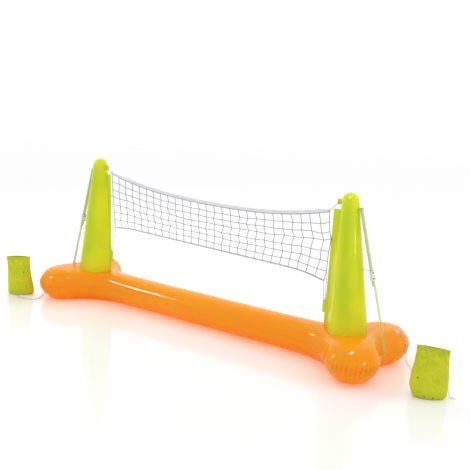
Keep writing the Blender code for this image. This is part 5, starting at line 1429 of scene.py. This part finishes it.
def makeAnchorCords():
    cord, tail, top = anchorSet["cord"], anchorSet["tailCord"], bagSet["height"]
    near, far = bagSet["cordPlaces"]
    hemKnot = ((0, -1, 0.2), (0.001, -0.002, 0))
    for name, node, route, diameter, end, at in (  # each knot's place on the route, axis and shift
            ("anchorCord_right", "anchor_cord_right", rightCordRoute(cord, near, top), cord, "object",
             [(6, (0.9, 0.2, 0.3), (0, 0, 0.001)), (-1, *hemKnot)]),
            ("anchorCord_left", "anchor_cord_left", leftCordRoute(cord), cord, "object",
             [(6, (-0.9, 0.2, 0.3), (0, 0, 0.001))]),
            ("bagTailCord_right", "bag_tail_cord_right", tailRoute(tail, far, top), tail, "knot",
             [(0, *hemKnot), (-1, (0, 0.3, 1), (0, 0, 0.0016))])):
        piece = dress(ropePiece(name, route, diameter, anchorCordFinish, groove=anchorSet["groove"]), node)
        knots = [dress(knotPiece(f"{name}Knot{index}", route[place] + Vector(lift), axis,
                                 diameter * anchorSet["knotSize"], diameter * anchorSet["knotCord"],
                                 anchorCordFinish, 9))
                 for index, (place, axis, lift) in enumerate(at)]


for side in bothSides:
    makeBag(side)
    makeVents(side)
for side in bothSides:
    makePatch(side)
makeAnchorCords()
print("anchors and bags made")


# Inflation valves
valveSet = {"seatRadius": 0.018, "seatDepth": 0.004, "seatRise": 0.0022, "stemRadius": 0.0070,
            "flangeRadius": 0.0105, "flangeThickness": 0.0020, "round": 0.0004, "depth": 0.013,
            "plugRadius": 0.0034, "plugLength": 0.0018, "capRadius": 0.0085, "capThickness": 0.0024,
            "hingeRadius": 0.0012, "hingeHalf": 0.0035, "basePlace": (-1.07638, 0.28956, 0.16277),
            "baseOut": (-0.11931, 0.71934, 0.68434), "towerLevel": 0.30, "steps": 40}


def makeValve(name, point, normal):
    seat, stem, flange, plug, cap, hinge, edge = (valveSet[key] for key in (
        "seatRadius", "stemRadius", "flangeRadius", "plugRadius", "capRadius", "hingeRadius", "round"))
    deep, depth, plugLength, steps = (valveSet[key] for key in ("seatDepth", "depth", "plugLength", "steps"))
    turn = normal.to_track_quat("Z", "Y").to_matrix().to_4x4()
    place = Matrix.Translation(point) @ turn
    seatProfile = [(seat, -deep), (seat, 0.0004), (seat - 0.0016, 0.0012), (seat - 0.0036, 0.0013),
                   (seat - 0.0044, 0.0009), (stem + 0.0032, 0.0011), (stem + 0.0022, 0.0020),
                   (stem + 0.0010, 0.0022), (stem + seamGap, 0.0020), (stem + seamGap, -deep)]
    low = valveSet["seatRise"] + seamGap
    top, socket = low + valveSet["flangeThickness"], plug + seamGap
    stemProfile = [(stem - 0.0015, -depth), (stem, -depth + 0.0015)]
    for rib in range(3):
        level = -0.009 + 0.0035 * rib
        stemProfile += [(stem - 0.0002, level), (stem, level + 0.0006), (stem - 0.0002, level + 0.0012)]
    stemProfile += [(stem, low), (flange - edge, low), (flange, low + edge), (flange, top - edge), (flange - edge, top),
                    (socket + edge, top), (socket, top - edge), (socket, top - plugLength - seamGap)]
    low, high = seamGap, seamGap + valveSet["capThickness"]
    capProfile = [(plug * 0.7, low - plugLength), (plug, low), (cap - 0.0003, low), (cap, low + edge),
                  (cap, high - 0.0008), (cap - 0.0007, high), (cap * 0.5, high), (cap * 0.42, high - 0.0005),
                  (cap * 0.15, high - 0.0006)]
    hingeX = cap + hinge * 0.7
    hingePlace = place @ Matrix.Translation((-hingeX, 0, top + seamGap + hinge))
    capParts = [
        turned("cap", capProfile, steps, hingePlace @ Matrix.Translation((hingeX, 0, -hinge)), whitePlastic),
        turned("barrel", [(hinge, -valveSet["hingeHalf"]), (hinge, valveSet["hingeHalf"])], 16,
               hingePlace @ Matrix.Rotation(math.pi / 2, 4, "X"), whitePlastic),
        boxAt("lip", hingePlace @ Vector((hingeX + cap + 0.0002, 0, 0)), (0.0016, 0.006, 0.0014), turn.to_3x3(),
              whitePlastic)]
    pieceName = name.replace("_", "")
    dress(turned(pieceName + "Seat", seatProfile, steps, place, clearVinyl), name + "_seat")
    dress(turned(pieceName + "Stem", stemProfile, steps, place, clearVinyl), name + "_stem",
          name + "_stem")
    dress(joined(pieceName + "Cap", capParts, 40), name + "_cap", name + "_cap")


towerSlope = (towerSet["footRadius"] - towerSet["headRadius"]) / (headLevel - towerSet["footLevel"])
towerLevel = valveSet["towerLevel"]
makeValve("base_valve", Vector(valveSet["basePlace"]), Vector(valveSet["baseOut"]).normalized())
for side in bothSides:
    makeValve("tower_valve_" + sideWord(side), Vector((side * axisX(towerLevel), towerRadius(towerLevel), towerLevel)),
              Vector((0, 1, towerSlope)).normalized())
print("valves made")


# Floor, world and lamps. Each lamp has its name, place, aim, width, height and power
stageSet = {"floorSize": 40.0, "floorColour": (0.97, 0.97, 0.97), "floorRoughness": (0.10, 0.14), "floorLift": 0.03,
            "world": 0.93,
            "softLamps": [("backLeft", (-3.0, 1.5, 2.8), (-0.3, 0.0, 0.2), 1.8, 1.8, 40.0),
                          ("backRight", (3.2, 1.3, 2.4), (0.3, 0.0, 0.3), 1.6, 1.6, 11.0)],
            "glintLamps": [("overGlint", (1.0, -0.6, 2.0), (1.0, -0.2, 0.1), 0.42, 0.42, 44.0),
                           ("leftGlint", (-1.80, -1.30, 1.30), (-0.8, -0.1, 0.15), 0.38, 0.15, 19.0),
                           ("rightGlint", (2.6, -0.5, 0.75), (1.157, -0.26, 0.14), 0.12, 0.12, 3.0)]}


def makeFloor():
    half = stageSet["floorSize"] / 2
    finish, tree, shader, place = startFinish("studioFloor")
    cloud = spread(tree, noiseAt(tree, place["Object"], 3.0, 2.0), 0.3, 0.7, *stageSet["floorRoughness"])
    seen = addNode(tree, "ShaderNodeLightPath").outputs["Is Camera Ray"]
    plugged(tree, shader, {"Base Color": stageSet["floorColour"], "Roughness": cloud, "Emission Color": (1, 1, 1),
                           "Emission Strength": maths(tree, "MULTIPLY", seen, stageSet["floorLift"])})
    corners = [(x * half, y * half, -0.0002) for x, y in ((-1, -1), (1, -1), (1, 1), (-1, 1))]
    pieceFrom("studioFloor", corners, [(0, 1, 2, 3)], finish)


def makeWorld():
    world = bpy.data.worlds.new("studio")
    scene.world = world
    world.use_nodes = True
    tree = world.node_tree
    rays = addNode(tree, "ShaderNodeLightPath").outputs
    seen = maths(tree, "MAXIMUM", rays["Is Camera Ray"], rays["Is Glossy Ray"])
    seen = maths(tree, "MAXIMUM", seen, rays["Is Transmission Ray"])
    plugged(tree, tree.nodes["Background"], {"Color": (1, 1, 1),
                                             "Strength": spread(tree, seen, 0.0, 1.0, stageSet["world"], 1.0)})


def makeLamps():
    soft = len(stageSet["softLamps"])
    for index, (name, place, aim, width, height, power) in enumerate(stageSet["softLamps"] + stageSet["glintLamps"]):
        lamp = newObject(name, bpy.data.lights.new(name, "AREA"))
        lamp.visible_diffuse = index < soft  # the small ones only make the highlights
        lamp.visible_glossy = index >= soft
        lamp.data.shape, lamp.data.energy = "ELLIPSE", power
        lamp.data.size, lamp.data.size_y = width, height
        direction = Vector(aim) - Vector(place)
        lamp.matrix_world = Matrix.Translation(place) @ direction.to_track_quat("-Z", "Y").to_matrix().to_4x4()


makeFloor()
makeWorld()
makeLamps()
scene.view_settings.view_transform = "Standard"
